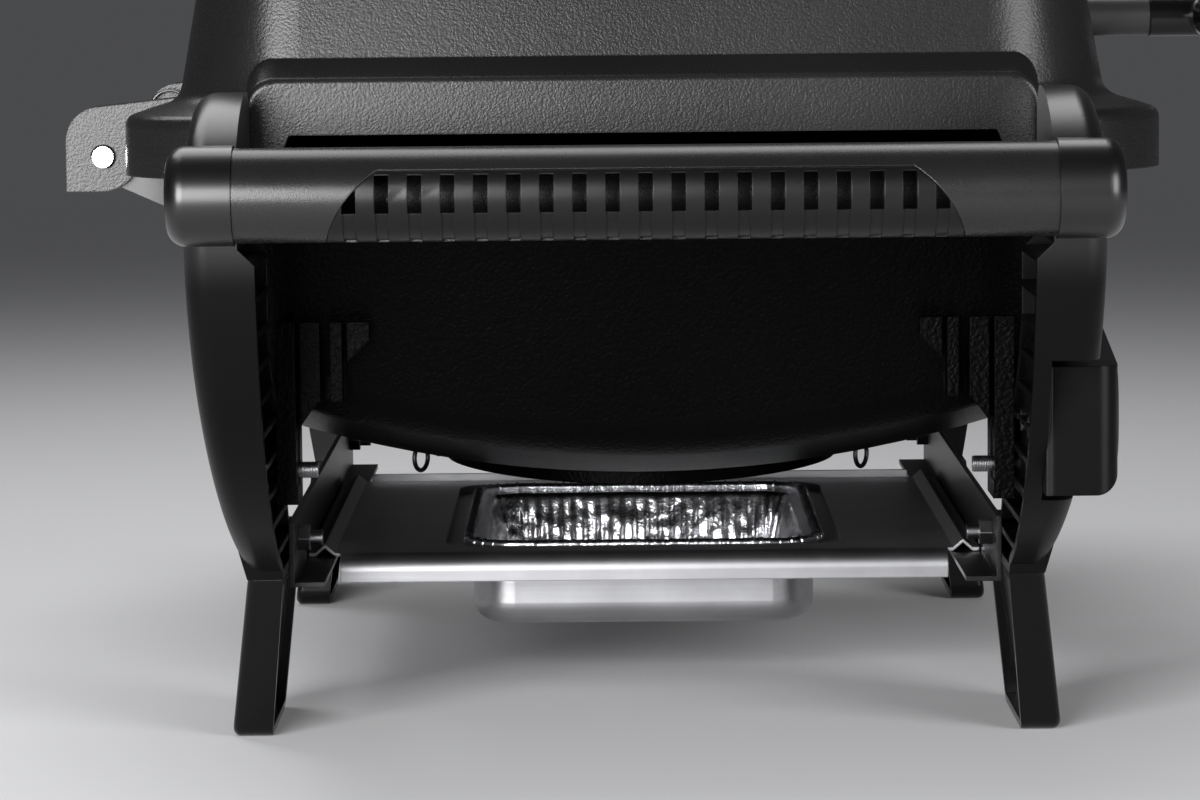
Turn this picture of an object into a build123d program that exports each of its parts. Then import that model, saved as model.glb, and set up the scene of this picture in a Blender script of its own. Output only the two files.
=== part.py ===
from build123d import *
from math import asin, atan2, cos, degrees, radians, sin, sqrt, tan
import os

# Electric grill with a hinged lid, in millimetres.
# +X runs along the grill, the front looks to -Y, +Z is up, and the feet stand on Z = 0.
# Heights and reaches are measured from the floor and from the middle plane of the cookbox.

# Cookbox casting
rim_z = 226.0
bowl_half_length = 286.0
bowl_half_depth = 188.0
bowl_corner = 60.0
bowl_draft = 18.0
bowl_bottom_z = 86.0
bottom_curve_along = 1100.0
bottom_curve_across = 500.0
bowl_bottom_round = 20.0
bowl_wall = 4.0
drain_d = 56.0
collar_d = 170.0
collar_wall = 5.0
collar_drop = 6.0
lug_width = 8.0
lug_height = 9.0
lug_reach = 5.0
ear_x = bowl_half_length - 26.0
ear_thickness = 28.0
ear_top_z = 168.0
ear_bottom_z = 98.0
ear_flange = 8.0
ear_web_z = 126.0
ear_web_slope = 8.0
ear_step_z = 137.5
ear_step = 18.0
ear_tip_z = 151.0
ear_tip = 10.0
ear_grooves = ((8.5, 2.0), (19.0, 4.0), (26.5, 2.0))
ear_groove_depth = 14.0
ear_bolt_depth = 15.0
grate_ledge_z = 200.0
ledge_thickness = 7.0
ledge_width = 36.0
ledge_reach = 16.0

# Lid casting
lid_top_z = 386.0
lid_half_length = bowl_half_length - 2.0
lid_half_depth = bowl_half_depth - 4.0
lid_corner = 54.0
lid_draft = 10.0
top_curve_along = 1200.0
top_curve_across = 480.0
lid_top_round = 22.0
lid_wall = 3.5
seat_clearance = 0.3
brim_half_length = bowl_half_length + 9.0
brim_half_depth = bowl_half_depth + 12.0
brim_corner = 58.0
brim_bottom_z = 223.5
brim_edge_z = 246.0
brim_flare = 9.0
flare_overrun = 1.45
flare_round = 9.0
brim_round = 5.0
brim_wall = 5.0
brim_clearance = 4.0
panel_half_width = bowl_half_depth - 38.0
panel_top_z = 261.0
panel_corner = 12.0
panel_round = 3.0
notch_half_width = panel_half_width - 8.0
notch_top_z = 240.0
notch_slope = 9.0
panel_rise = 7.5

# Hinge
hinge_y = bowl_half_depth + 27.0
hinge_z = 228.0
hinge_x = bowl_half_length - 116.0
hinge_lug_width = 24.0
hinge_arm_width = 13.0
hinge_gap = 0.6
hinge_lug_back = 15.0
hinge_lug_low = 14.0
hinge_lug_high = 20.0
hinge_lug_round = 14.0
hinge_lug_chin = 16.0
hinge_lug_rise = 4.0
hinge_boss = 9.0
hinge_slot = 10.0
arm_top_drop = 4.0
arm_root_drop = 24.0
arm_gap = 1.5
arm_neck = 6.0
pin_d = 8.0
pin_head_d = 10.0
pin_head = 2.5
pin_tail = 8.0
pin_chamfer = 0.8
pin_clearance = 0.05
clip_wire = 1.6
ring_radius = 9.0
ring_inset = 4.0
ring_angle = 60.0

# Lid handle
stand_x = 100.0
stand_z = 279.0
spacer_d = 16.0
spacer_reach = bowl_half_depth + 24.0
spacer_root = bowl_half_depth - 23.0
arm_d = 17.0
grip_depth = 30.0
grip_height = 18.0
grip_back = spacer_reach + 16.0
grip_half_length = 128.0
grip_cap = 10.0
grip_wall = 1.5
handle_screw_d = 5.0
screw_bite = 12.0
cap_taper = 14.0

# Carry handles
bar_x = bowl_half_length + 96.0
bar_z = 222.0
bar_d = 34.0
bar_half_length = bowl_half_depth - 41.0
bar_wall = 3.0
insert_top = 9.0
insert_half_top = bar_half_length - 52.0
insert_half_mid = insert_half_top + 12.5
insert_mid_drop = 3.0
insert_half_bottom = insert_half_mid + 6.5
slot_count = 19
slot_pitch = 11.7
slot_width = 5.0
slot_low = -6.0
slot_bridge = 1.5
groove_depth = 0.8
groove_width = 4.3
fit = 0.2

# Legs
knuckle_d = 36.0
knuckle_reach = bar_half_length + 24.0
knuckle_round = 7.0
strap_outer = bar_half_length + 18.0
horn_top_z = 257.0
horn_inner_x = bar_x - 78.0
horn_corner = 11.0
horn_crest = 18.0
strap_low_z = 202.0
leg_centre_x = bowl_half_length - 76.0
leg_centre_z = 228.0
leg_outer_r = 164.0
leg_inner_r = 110.0
leg_inner = bowl_half_depth - 47.0
leg_outer_top = leg_inner + 26.0
leg_outer_low = leg_inner + 14.0
leg_wall = 3.5
leg_round = 9.0
horn_round = 8.0
leg_bottom_z = 66.0
leg_end_x = leg_centre_x - 34.0
leg_end_height = 16.0
leg_end_length = 36.0
leg_end_rise = 4.0
leg_toe = 4.0
leg_turn = 71.0
rib_pitch = 13.0
rib_thickness = 2.4
boss_d = 16.0

# Feet
foot_top_in = leg_centre_x - 60.0
foot_top_out = leg_centre_x + 40.0
foot_low_in = foot_top_in - 1.0
foot_low_out = foot_top_out - 25.0
foot_splay = 7.0
foot_width = 16.0
foot_wall = 3.5
foot_recess = 5.0
foot_round = 7.0
foot_edge = 3.0

# Rails, catch pan and drip tray
rail_half_length = leg_centre_x + 5.0
rail_web = 2.0
rail_height = 26.0
rail_shelf = 12.0
pan_top_z = 62.0
pan_sheet = 1.5
pan_near_x = -138.0
pan_far_x = 124.0
pan_gap = 0.8
ridge_y = leg_inner - 9.5
ridge_height = 3.5
ridge_half = 4.0
lip_radius = 7.0
lip_drop = 4.5
lip_half_length = leg_inner - 16.0
well_rim_length = 230.0
well_rim_width = 166.0
well_rim_drop = 3.0
well_rim_corner = 18.0
well_length = 204.0
well_width = 140.0
well_bottom_z = 27.0
well_corner = 16.0
foil_rim_length = 216.0
foil_rim_width = 152.0
foil_depth = 30.0
foil_wall = 0.8
foil_rim = 4.0
foil_draft = 14.0
foil_corner = 15.0

# Control box at the front left
box_near_x = -(bowl_half_length + 50.0)
box_far_x = box_near_x + 206.0
box_top_z = 154.0
box_height = 48.0
box_near_reach = bowl_half_depth - 14.0
box_far_reach = bowl_half_depth + 1.0
box_back = bowl_half_depth - 38.0
box_wall = 2.5
box_round = 8.0
box_clearance = 5.0
cover_thickness = 2.5
knob_x = box_near_x + 68.0
knob_d = 34.0
knob_sink = 7.0
knob_proud = 2.0
knob_bar = 8.0
knob_scoop = 5.0
knob_gap = 0.4
shaft_d = 6.0
shaft_clearance = 0.05
thermostat_d = 30.0
thermostat_depth = 12.0
lens_d = 7.0
lens_x = box_near_x + 146.0
gland_d = 16.0
gland_length = 10.0
lens_proud = 0.8
gland_x = box_near_x + 122.0
gland_y = bowl_half_depth - 22.0
gland_neck_d = 12.0
gland_bore = 7.0
cover_far_x = box_near_x + 74.0
box_margin = 4.0
box_screw_d = 4.0
box_screw_xs = (box_near_x + 14.0, box_near_x + 44.0)
box_screw_length = 20.0
terminal_block_height = 16.0
terminal_block_depth = 6.0
terminal_block_edge = 7.0

# Heat
element_d = 8.0
element_z = 138.0
element_right = bowl_half_length - 91.0
element_rear = bowl_half_depth - 68.0
element_step = 0.625 * element_rear
element_left = 146.0 - bowl_half_length
element_end = bowl_half_depth - 17.5
element_bend = 30.0
terminal_x = 116.0 - bowl_half_length
terminal_pitch = 22.0
sleeve_d = 13.0
sleeve_back = 14.0
sleeve_front = 2.0
bracket_width = 12.0
bracket_sheet = 2.0
bracket_xs = (176.0 - bowl_half_length, bowl_half_length - 176.0)
grate_thickness = 12.0
grate_gap = 2.0
grate_edge = 9.0
grate_bars = 12
grate_clearance = 6.0

# Fasteners
bolt_d = 6.0
bolt_head_d = 12.0
bolt_head = 4.0
bolt_boss = 2.0
bolt_tail = 14.0
nut_d = 11.0
nut = 5.0
stud_d = 5.0
stud_length = 9.0
loop_radius = 5.5
loop_turn = 30.0
loop_wire = 2.0

bowl_tan = tan(radians(bowl_draft))
lid_tan = tan(radians(lid_draft))
hinge_rear = hinge_y + hinge_lug_back
grip_front = grip_back + grip_depth
middle_y = (grip_front - hinge_rear) / 2
front, rear = -1, 1
hanging = (Align.CENTER, Align.CENTER, Align.MAX)


def level(z):
    """Flat plane at a height, centred on the cookbox."""
    return Plane(origin=(0, middle_y, z))


def cross(x):
    """Upright plane across the grill: local x is the reach to the rear, local y the height."""
    return Plane(origin=(x, middle_y, 0), x_dir=(0, 1, 0), z_dir=(1, 0, 0))


def along(y):
    """Upright plane along the grill: local x is X, local y the height, normal to the front."""
    return Plane(origin=(0, middle_y + y, 0), x_dir=(1, 0, 0), z_dir=(0, -1, 0))


def on_arc(centre, radius, angle):
    """Point of a circle at an angle in degrees."""
    return (centre[0] + radius * cos(radians(angle)), centre[1] + radius * sin(radians(angle)))


def crowned(pole_z, open_z, across, along_r):
    """Wide block from a level to a crown that curves both across and along the grill."""
    up = 1 if pole_z > open_z else -1
    side_z = pole_z - up * (across - sqrt(across**2 - bowl_half_length**2))
    hub = Axis((0, middle_y, pole_z - up * along_r), (0, 1, 0))
    turn = degrees(asin(1.2 * bowl_half_length / along_r))
    with BuildPart() as block:
        with BuildSketch(cross(0)):
            with BuildLine():
                ThreePointArc((-bowl_half_length, side_z), (0, pole_z), (bowl_half_length, side_z))
                Polyline(
                    (bowl_half_length, side_z),
                    (bowl_half_length, open_z),
                    (-bowl_half_length, open_z),
                    (-bowl_half_length, side_z),
                )
            make_face()
        revolve(axis=hub, revolution_arc=2 * turn)
    return block.part.rotate(hub, -turn)


def bowl(grow):
    """Outer form of the cookbox, grown by an amount all round."""
    with BuildPart() as form:
        with BuildSketch(level(rim_z)):
            RectangleRounded(
                2 * (bowl_half_length + grow), 2 * (bowl_half_depth + grow), bowl_corner + grow
            )
        extrude(amount=-(rim_z - bowl_bottom_z + grow), taper=bowl_draft)
        hull = crowned(
            bowl_bottom_z - grow, rim_z, bottom_curve_across + grow, bottom_curve_along + grow
        )
        add(hull, mode=Mode.INTERSECT)
        fillet(form.faces().sort_by(Axis.Z)[0].edges(), bowl_bottom_round + grow)
    return form.part


def dome(grow):
    """Outer form of the lid above its brim, grown by an amount all round."""
    with BuildPart() as form:
        with BuildSketch(level(rim_z + seat_clearance)):
            RectangleRounded(
                2 * (lid_half_length + grow), 2 * (lid_half_depth + grow), lid_corner + grow
            )
        extrude(amount=lid_top_z - rim_z - seat_clearance + grow, taper=lid_draft)
        crown = crowned(lid_top_z + grow, rim_z, top_curve_across + grow, top_curve_along + grow)
        add(crown, mode=Mode.INTERSECT)
        fillet(form.faces().sort_by(Axis.Z)[-1].edges(), lid_top_round + grow)
    return form.part


bowl_outside = bowl(0)
bowl_inside = bowl(-bowl_wall)
bowl_keepout = bowl(box_clearance)
bowl_box_inside = bowl(box_clearance + box_wall)
dome_outside = dome(0)
dome_inside = dome(-lid_wall)


def bowl_reach(z, x=0.0):
    """Half depth of the cookbox wall at a height, also in the rounded corners."""
    inset = (rim_z - z) * bowl_tan
    over = max(abs(x) - bowl_half_length + bowl_corner, 0)
    return bowl_half_depth - bowl_corner + sqrt((bowl_corner - inset) ** 2 - over**2)


def bowl_end(z):
    """Half length of the cookbox wall at a height."""
    return bowl_half_length - (rim_z - z) * bowl_tan


def lid_reach(z):
    """Half depth of the lid wall at a height, on its straight sides."""
    return lid_half_depth - (z - rim_z - seat_clearance) * lid_tan


def lid_end(z):
    """Half length of the lid wall at a height."""
    return lid_half_length - (z - rim_z - seat_clearance) * lid_tan


# Places that several pieces share
collar_bottom_z = bowl_bottom_z - collar_drop
collar_side_z = collar_bottom_z + bottom_curve_across - sqrt(bottom_curve_across**2 - collar_d**2 / 4)
lug_mid_z = collar_side_z + lug_height / 2
lug_face = (collar_d - collar_wall + 2 * lug_reach + collar_wall) / 2
ledge_bottom_z = grate_ledge_z - ledge_thickness
ledge_y = bowl_reach(ledge_bottom_z) - bowl_wall / 4 - ledge_reach / 2
ledge_x = bowl_end(ledge_bottom_z) - bowl_wall / 4 - ledge_reach / 2
ledge_xs = (-0.375 * bowl_half_length, 0.375 * bowl_half_length)
ear_bolt_z = ear_bottom_z + 0.75 * boss_d
rail_bolt_x = leg_end_x + 0.875 * boss_d
rail_bolt_z = leg_bottom_z + leg_end_height / 2 + 1
bolt_seat = leg_inner + bolt_boss
pan_bottom_z = pan_top_z - pan_sheet
shelf_top_z = pan_bottom_z - seat_clearance
shelf_bottom_z = shelf_top_z - rail_web
rail_inner = leg_inner - rail_web
pan_half_width = rail_inner - pan_gap
pan_mid_x = (pan_near_x + pan_far_x) / 2
well_ledge_z = pan_top_z - well_rim_drop
box_mid_z = box_top_z - box_height / 2
box_bottom_z = box_top_z - box_height
leg_seat = box_back - cover_thickness
terminal_xs = (terminal_x - terminal_pitch / 2, terminal_x + terminal_pitch / 2)
grip_mid = grip_back + grip_depth / 2
screw_seat = lid_reach(stand_z + handle_screw_d) - lid_wall
panel_crest_z = panel_top_z + panel_rise
panel_root = lid_end(panel_crest_z) - 2 * lid_wall
arm_top_z = rim_z - arm_top_drop
arm_root_z = rim_z - arm_root_drop
flare_reach = brim_half_depth - lid_reach(brim_edge_z + brim_flare)
flare_angle = degrees(atan2(flare_overrun * flare_reach, brim_flare))
front_slope = (box_far_reach - box_near_reach) / (box_far_x - box_near_x)
front_normal = Vector(-front_slope, -1, 0).normalized()


def box_front(x):
    """Reach of the front face of the control box at a place along the grill."""
    return box_near_reach + (x - box_near_x) * front_slope


def on_front(x, depth):
    """Plane on the front face of the control box, sunk by a depth, with its normal outwards."""
    face = Vector(x, middle_y - box_front(x), box_mid_z)
    return Plane(origin=face - front_normal * depth, x_dir=(0, 0, 1), z_dir=front_normal)


# Cookbox: a cast bowl with a drain collar, four ears, two hinge arms and ledges for the grates
with BuildPart() as collar:
    with BuildSketch(level(collar_bottom_z)):
        Circle(collar_d / 2)
        Circle(collar_d / 2 - collar_wall, mode=Mode.SUBTRACT)
    extrude(amount=collar_d / 4)
    add(bowl(collar_drop), mode=Mode.INTERSECT)

with BuildPart() as cookbox:
    for side in (front, rear):
        for end in (-1, 1):
            with BuildSketch(cross(end * ear_x)):
                with BuildLine():
                    Polyline(
                        (side * leg_inner, ear_top_z),
                        (side * leg_inner, ear_bottom_z),
                        (side * (leg_inner - ear_flange), ear_bottom_z),
                        (side * (leg_inner - ear_flange), ear_web_z),
                        (side * (leg_inner - ear_flange - ear_web_slope), ear_step_z),
                        (side * (leg_inner - ear_flange - ear_step), ear_step_z),
                        (side * (leg_inner - ear_flange - ear_step), ear_tip_z),
                        (side * (leg_inner - ear_flange - ear_step - ear_tip), ear_tip_z + ear_tip),
                        (side * (leg_inner - ear_flange - ear_step - ear_tip), ear_top_z),
                        close=True,
                    )
                make_face()
            extrude(amount=ear_thickness / 2, both=True)
            with BuildSketch(cross(end * (ear_x + ear_thickness / 2))):
                for inset, width in ear_grooves:
                    with Locations((side * (leg_inner - inset), (ear_web_z + ear_top_z) / 2)):
                        Rectangle(width, 2 * (ear_top_z - ear_web_z))
            extrude(amount=-end * ear_groove_depth, mode=Mode.SUBTRACT)
        with Locations((0, middle_y + side * (collar_d - collar_wall) / 2, lug_mid_z)):
            Box(lug_width, 2 * lug_reach + collar_wall, lug_height)
    add(bowl_outside)
    add(collar.part)
    for end in (-1, 1):
        with BuildSketch(cross(end * hinge_x)):
            with BuildLine():
                Polyline(
                    (bowl_reach(arm_top_z) - bowl_wall / 2, arm_top_z),
                    (hinge_y - hinge_boss - arm_neck, brim_bottom_z - arm_gap),
                    on_arc((hinge_y, hinge_z), hinge_boss, 217),
                    (hinge_y, hinge_z),
                    on_arc((hinge_y, hinge_z), hinge_boss, 307),
                    (bowl_reach(arm_root_z) - bowl_wall / 2, arm_root_z),
                    close=True,
                )
            make_face()
            with Locations((hinge_y, hinge_z)):
                Circle(hinge_boss)
        extrude(amount=hinge_arm_width / 2, both=True)
    add(bowl_inside, mode=Mode.SUBTRACT)
    for side in (front, rear):
        for x in ledge_xs:
            with Locations((x, middle_y + side * ledge_y, grate_ledge_z)):
                Box(ledge_width, ledge_reach, ledge_thickness, align=hanging)
    for end in (-1, 1):
        with Locations((end * ledge_x, middle_y, grate_ledge_z)):
            Box(ledge_reach, ledge_width, ledge_thickness, align=hanging)
    with BuildSketch(level(collar_bottom_z)):
        Circle(drain_d / 2)
    extrude(amount=collar_drop + 2 * bowl_wall, mode=Mode.SUBTRACT)
    for end in (-1, 1):
        with BuildSketch(cross(end * hinge_x)):
            with Locations((hinge_y, hinge_z)):
                Circle(pin_d / 2 + pin_clearance)
        extrude(amount=hinge_arm_width, both=True, mode=Mode.SUBTRACT)
    for side in (front, rear):
        with BuildSketch(along(side * leg_inner)):
            with Locations((-ear_x, ear_bolt_z), (ear_x, ear_bolt_z)):
                Circle(bolt_d / 2 + fit)
        extrude(amount=side * ear_bolt_depth, mode=Mode.SUBTRACT)
    with BuildSketch(along(-element_end)):
        with Locations(*[(x, element_z) for x in terminal_xs]):
            Circle(sleeve_d / 2)
    extrude(amount=-4 * sleeve_d, mode=Mode.SUBTRACT)

# Lid: a cast dome with a hanging brim, a flat notched panel at each end and two hinge lugs
panels = []
for end in (-1, 1):
    with BuildPart() as panel:
        with BuildSketch(along(0)):
            with BuildLine():
                Polyline(
                    (end * panel_root, brim_bottom_z),
                    (end * brim_half_length, brim_bottom_z),
                    (end * brim_half_length, panel_top_z),
                    (end * lid_end(panel_crest_z), panel_crest_z),
                    (end * panel_root, panel_crest_z),
                    close=True,
                )
            make_face()
        extrude(amount=panel_half_width, both=True)
        sides = panel.faces().sort_by(Axis.Y)
        fillet([face.edges().sort_by(Axis.Z)[-2] for face in (sides[0], sides[-1])], panel_corner)
        outside = panel.faces().sort_by(Axis.X)[0 if end < 0 else -1]
        fillet(outside.edges().sort_by(Axis.Z)[1:], panel_round)
    panels.append(panel.part)

with BuildPart() as lid:
    add(dome_outside)
    with BuildSketch(level(brim_bottom_z)):
        RectangleRounded(2 * brim_half_length, 2 * brim_half_depth, brim_corner)
    extrude(amount=brim_edge_z - brim_bottom_z)
    with BuildSketch(level(brim_edge_z)):
        RectangleRounded(2 * brim_half_length, 2 * brim_half_depth, brim_corner)
    extrude(amount=brim_flare, taper=flare_angle)
    spans = [(edge, edge.bounding_box()) for edge in lid.edges()]
    seams = [e for e, b in spans if brim_edge_z + 1 < b.min.Z and b.max.Z < brim_edge_z + brim_flare + 1]
    fillet(seams, flare_round)
    spans = [(edge, edge.bounding_box()) for edge in lid.edges()]
    fillet([e for e, b in spans if abs(b.min.Z - brim_edge_z) + b.size.Z < 0.1], brim_round)
    for panel_part in panels:
        add(panel_part)
    for end in (-1, 1):
        with BuildSketch(cross(end * hinge_x)):
            with BuildLine():
                crown_centre = (hinge_rear - hinge_lug_round, hinge_z + hinge_lug_high - hinge_lug_round)
                chin_centre = (
                    hinge_y - hinge_lug_back + hinge_lug_chin,
                    hinge_z - hinge_lug_low + hinge_lug_chin,
                )
                crown = on_arc(crown_centre, hinge_lug_round, 90)
                back = on_arc(crown_centre, hinge_lug_round, 0)
                chin = on_arc(chin_centre, hinge_lug_chin, 180)
                heel = on_arc(chin_centre, hinge_lug_chin, 270)
                lug_root_y = lid_reach(hinge_z + hinge_lug_high) - lid_wall / 2
                Polyline(heel, (hinge_rear, heel[1]), back)
                ThreePointArc(back, on_arc(crown_centre, hinge_lug_round, 45), crown)
                Polyline(crown, (lug_root_y, crown[1] + hinge_lug_rise), (lug_root_y, chin[1]), chin)
                ThreePointArc(chin, on_arc(chin_centre, hinge_lug_chin, 225), heel)
            make_face()
        extrude(amount=hinge_lug_width / 2, both=True)
    with BuildSketch(level(brim_bottom_z - hinge_lug_low)):
        RectangleRounded(
            2 * (bowl_half_length + brim_clearance),
            2 * (bowl_half_depth + brim_clearance),
            bowl_corner + brim_clearance,
        )
    extrude(amount=rim_z + seat_clearance - brim_bottom_z + hinge_lug_low, mode=Mode.SUBTRACT)
    with BuildSketch(level(rim_z)):
        RectangleRounded(
            2 * (bowl_half_length + brim_clearance),
            2 * (bowl_half_depth + brim_clearance),
            bowl_corner + brim_clearance,
        )
        RectangleRounded(
            2 * bowl_half_length, 2 * bowl_half_depth, bowl_corner, mode=Mode.SUBTRACT
        )
    extrude(amount=brim_edge_z - brim_wall - rim_z, mode=Mode.SUBTRACT)
    add(dome_inside, mode=Mode.SUBTRACT)
    for end in (-1, 1):
        with BuildSketch(along(0)):
            with BuildLine():
                Polyline(
                    (end * panel_root, brim_bottom_z),
                    (end * (brim_half_length - brim_wall), brim_bottom_z),
                    (end * (brim_half_length - brim_wall), panel_top_z - brim_wall),
                    (end * panel_root, panel_top_z - brim_wall),
                    close=True,
                )
            make_face()
        extrude(amount=panel_half_width - 2 * brim_wall, both=True, mode=Mode.SUBTRACT)
        with BuildSketch(cross(end * panel_root)):
            with BuildLine():
                Polyline(
                    (-notch_half_width, brim_bottom_z - brim_wall),
                    (notch_half_width, brim_bottom_z - brim_wall),
                    (notch_half_width - notch_slope, notch_top_z),
                    (notch_slope - notch_half_width, notch_top_z),
                    close=True,
                )
            make_face()
        extrude(amount=end * 2 * (brim_half_length - panel_root), mode=Mode.SUBTRACT)
        with BuildSketch(cross(end * hinge_x)):
            with BuildLine():
                Polyline(
                    (hinge_y - hinge_slot, hinge_z),
                    (hinge_y - 1.7 * hinge_slot, hinge_z - 0.9 * hinge_slot),
                    (hinge_y - 3 * hinge_slot, hinge_z - 0.9 * hinge_slot),
                    (hinge_y - 3 * hinge_slot, hinge_z - 3 * hinge_slot),
                    (hinge_y + 3 * hinge_slot, hinge_z - 3 * hinge_slot),
                    (hinge_y + 3 * hinge_slot, hinge_z + 0.55 * hinge_slot),
                    (hinge_y, hinge_z + 0.55 * hinge_slot),
                    close=True,
                )
            make_face()
            with Locations((hinge_y, hinge_z)):
                Circle(hinge_slot)
        extrude(amount=hinge_arm_width / 2 + hinge_gap, both=True, mode=Mode.SUBTRACT)
        with BuildSketch(cross(end * hinge_x)):
            with Locations((hinge_y, hinge_z)):
                Circle(pin_d / 2 + pin_clearance)
        extrude(amount=hinge_lug_width, both=True, mode=Mode.SUBTRACT)
        with BuildSketch(along(0)):
            with Locations((end * stand_x, stand_z)):
                Circle(handle_screw_d / 2 + fit)
        extrude(amount=spacer_reach, mode=Mode.SUBTRACT)


def clip_ring(end):
    """Plane of the wire ring through the tail of a hinge pin."""
    x = end * (hinge_x - hinge_lug_width / 2 - ring_inset)
    y, z = on_arc((hinge_y, hinge_z), ring_radius, ring_angle)
    return Plane(origin=(x, middle_y + y, z), z_dir=(1, 0, 0))


# Hinge pins: headed steel pins, each held by a wire ring through its tail
with BuildPart() as hinge_pins:
    for end in (-1, 1):
        with BuildSketch(cross(end * (hinge_x + hinge_lug_width / 2))):
            with Locations((hinge_y, hinge_z)):
                Circle(pin_head_d / 2)
        extrude(amount=end * pin_head)
        with BuildSketch(cross(end * (hinge_x + hinge_lug_width / 2))):
            with Locations((hinge_y, hinge_z)):
                Circle(pin_d / 2)
        extrude(amount=-end * (hinge_lug_width + pin_tail))
        with Locations(clip_ring(end)):
            Torus(ring_radius, clip_wire / 2 + fit, mode=Mode.SUBTRACT)
    rims = hinge_pins.edges().filter_by(GeomType.CIRCLE).group_by(Axis.X)
    chamfer(rims[0] + rims[-1], pin_chamfer)

with BuildPart() as hinge_pin_clips:
    with Locations(clip_ring(-1), clip_ring(1)):
        Torus(ring_radius, clip_wire / 2)

# Lid handle: spacers against the lid wall, arms, an oval tube with end caps, and screws
with BuildPart() as lid_handle_spacers:
    for end in (-1, 1):
        with BuildSketch(along(-spacer_reach)):
            with Locations((end * stand_x, stand_z)):
                Circle(spacer_d / 2)
                Circle(handle_screw_d / 2 + fit, mode=Mode.SUBTRACT)
        extrude(amount=-(spacer_reach - spacer_root))
    add(dome_outside, mode=Mode.SUBTRACT)

with BuildPart() as lid_handle_arms:
    for end in (-1, 1):
        with BuildSketch(along(-spacer_reach)):
            with Locations((end * stand_x, stand_z)):
                Circle(arm_d / 2)
        extrude(amount=grip_mid - spacer_reach)
        with BuildSketch(along(-spacer_reach)):
            with Locations((end * stand_x, stand_z)):
                Circle(handle_screw_d / 2)
        extrude(amount=screw_bite, mode=Mode.SUBTRACT)
    with BuildSketch(cross(-grip_half_length)):
        with Locations((-grip_mid, stand_z)):
            SlotOverall(grip_depth, grip_height)
    extrude(amount=2 * grip_half_length, mode=Mode.SUBTRACT)

with BuildPart() as lid_handle_grip:
    with BuildSketch(cross(grip_cap - grip_half_length)):
        with Locations((-grip_mid, stand_z)):
            SlotOverall(grip_depth, grip_height)
            SlotOverall(
                grip_depth - 2 * grip_wall, grip_height - 2 * grip_wall, mode=Mode.SUBTRACT
            )
    extrude(amount=2 * (grip_half_length - grip_cap))

with BuildPart() as lid_handle_end_caps:
    for end in (-1, 1):
        with BuildSketch(cross(end * (grip_half_length - grip_cap))):
            with Locations((-grip_mid, stand_z)):
                SlotOverall(grip_depth, grip_height)
        extrude(amount=end * grip_cap, taper=cap_taper)
        plug_gap = 2 * (grip_wall + fit)
        with BuildSketch(cross(end * (grip_half_length - grip_cap))):
            with Locations((-grip_mid, stand_z)):
                SlotOverall(grip_depth - plug_gap, grip_height - plug_gap)
        extrude(amount=-end * grip_cap)

with BuildPart() as lid_handle_screws:
    for end in (-1, 1):
        with BuildSketch(along(-screw_seat)):
            with Locations((end * stand_x, stand_z)):
                Circle(handle_screw_d)
        extrude(amount=-handle_screw_d / 2)
        with BuildSketch(along(-screw_seat)):
            with Locations((end * stand_x, stand_z)):
                Circle(handle_screw_d / 2)
        extrude(amount=spacer_reach + screw_bite - screw_seat)


# Carry handles: tubes with a slotted insert let into the outer lower face
def insert_prism(end, grow):
    """Block outside the middle of a handle bar with arched ends, grown by an amount."""
    with BuildPart() as prism:
        with BuildSketch(cross(end * (bar_x - grow))):
            with BuildLine():
                for side in (front, rear):
                    ThreePointArc(
                        (side * (insert_half_top + grow), bar_z + insert_top + grow),
                        (side * (insert_half_mid + grow), bar_z - insert_mid_drop),
                        (side * (insert_half_bottom + grow), bar_z - bar_d / 2),
                    )
                    Line(
                        (side * (insert_half_bottom + grow), bar_z - bar_d / 2),
                        (side * (insert_half_bottom + grow), bar_z - bar_d),
                    )
                Line(
                    (-insert_half_top - grow, bar_z + insert_top + grow),
                    (insert_half_top + grow, bar_z + insert_top + grow),
                )
                Line(
                    (-insert_half_bottom - grow, bar_z - bar_d),
                    (insert_half_bottom + grow, bar_z - bar_d),
                )
            make_face()
        extrude(amount=end * bar_d)
    return prism.part


def tube(end):
    """Plain tube of a carry handle."""
    with BuildPart() as piece:
        with BuildSketch(along(-bar_half_length)):
            with Locations((end * bar_x, bar_z)):
                Circle(bar_d / 2)
                Circle(bar_d / 2 - bar_wall, mode=Mode.SUBTRACT)
        extrude(amount=-2 * bar_half_length)
    return piece.part


def handle_bar(end):
    """Bar of one carry handle, cut out for its insert."""
    with BuildPart() as bar:
        add(tube(end))
        add(insert_prism(end, fit), mode=Mode.SUBTRACT)
    return bar


def grip_insert(end):
    """Insert of one carry handle with its row of slots, each running out into a groove."""
    slot_top = insert_top - slot_bridge
    first_y = -slot_pitch * (slot_count - 1) / 2
    with BuildPart() as grooves:
        with BuildSketch(along(first_y - groove_width / 2)):
            with Locations((end * bar_x, bar_z)):
                Rectangle(2 * bar_d, bar_d, align=(Align.CENTER, Align.MAX))
                Circle(bar_d / 2 - groove_depth, mode=Mode.SUBTRACT)
        groove = extrude(amount=-groove_width, mode=Mode.PRIVATE)
        with Locations(*[(0, i * slot_pitch, 0) for i in range(slot_count)]):
            add(groove)
    with BuildPart() as insert:
        add(tube(end))
        add(insert_prism(end, 0), mode=Mode.INTERSECT)
        with BuildSketch(cross(end * bar_x)):
            with Locations((0, bar_z + (slot_top + slot_low) / 2)):
                with GridLocations(slot_pitch, 1, slot_count, 1):
                    Rectangle(slot_width, slot_top - slot_low)
        extrude(amount=end * bar_d, mode=Mode.SUBTRACT)
        add(grooves.part, mode=Mode.SUBTRACT)
    return insert


left_handle_bar = handle_bar(-1)
right_handle_bar = handle_bar(1)
left_grip_insert = grip_insert(-1)
right_grip_insert = grip_insert(1)


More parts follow.
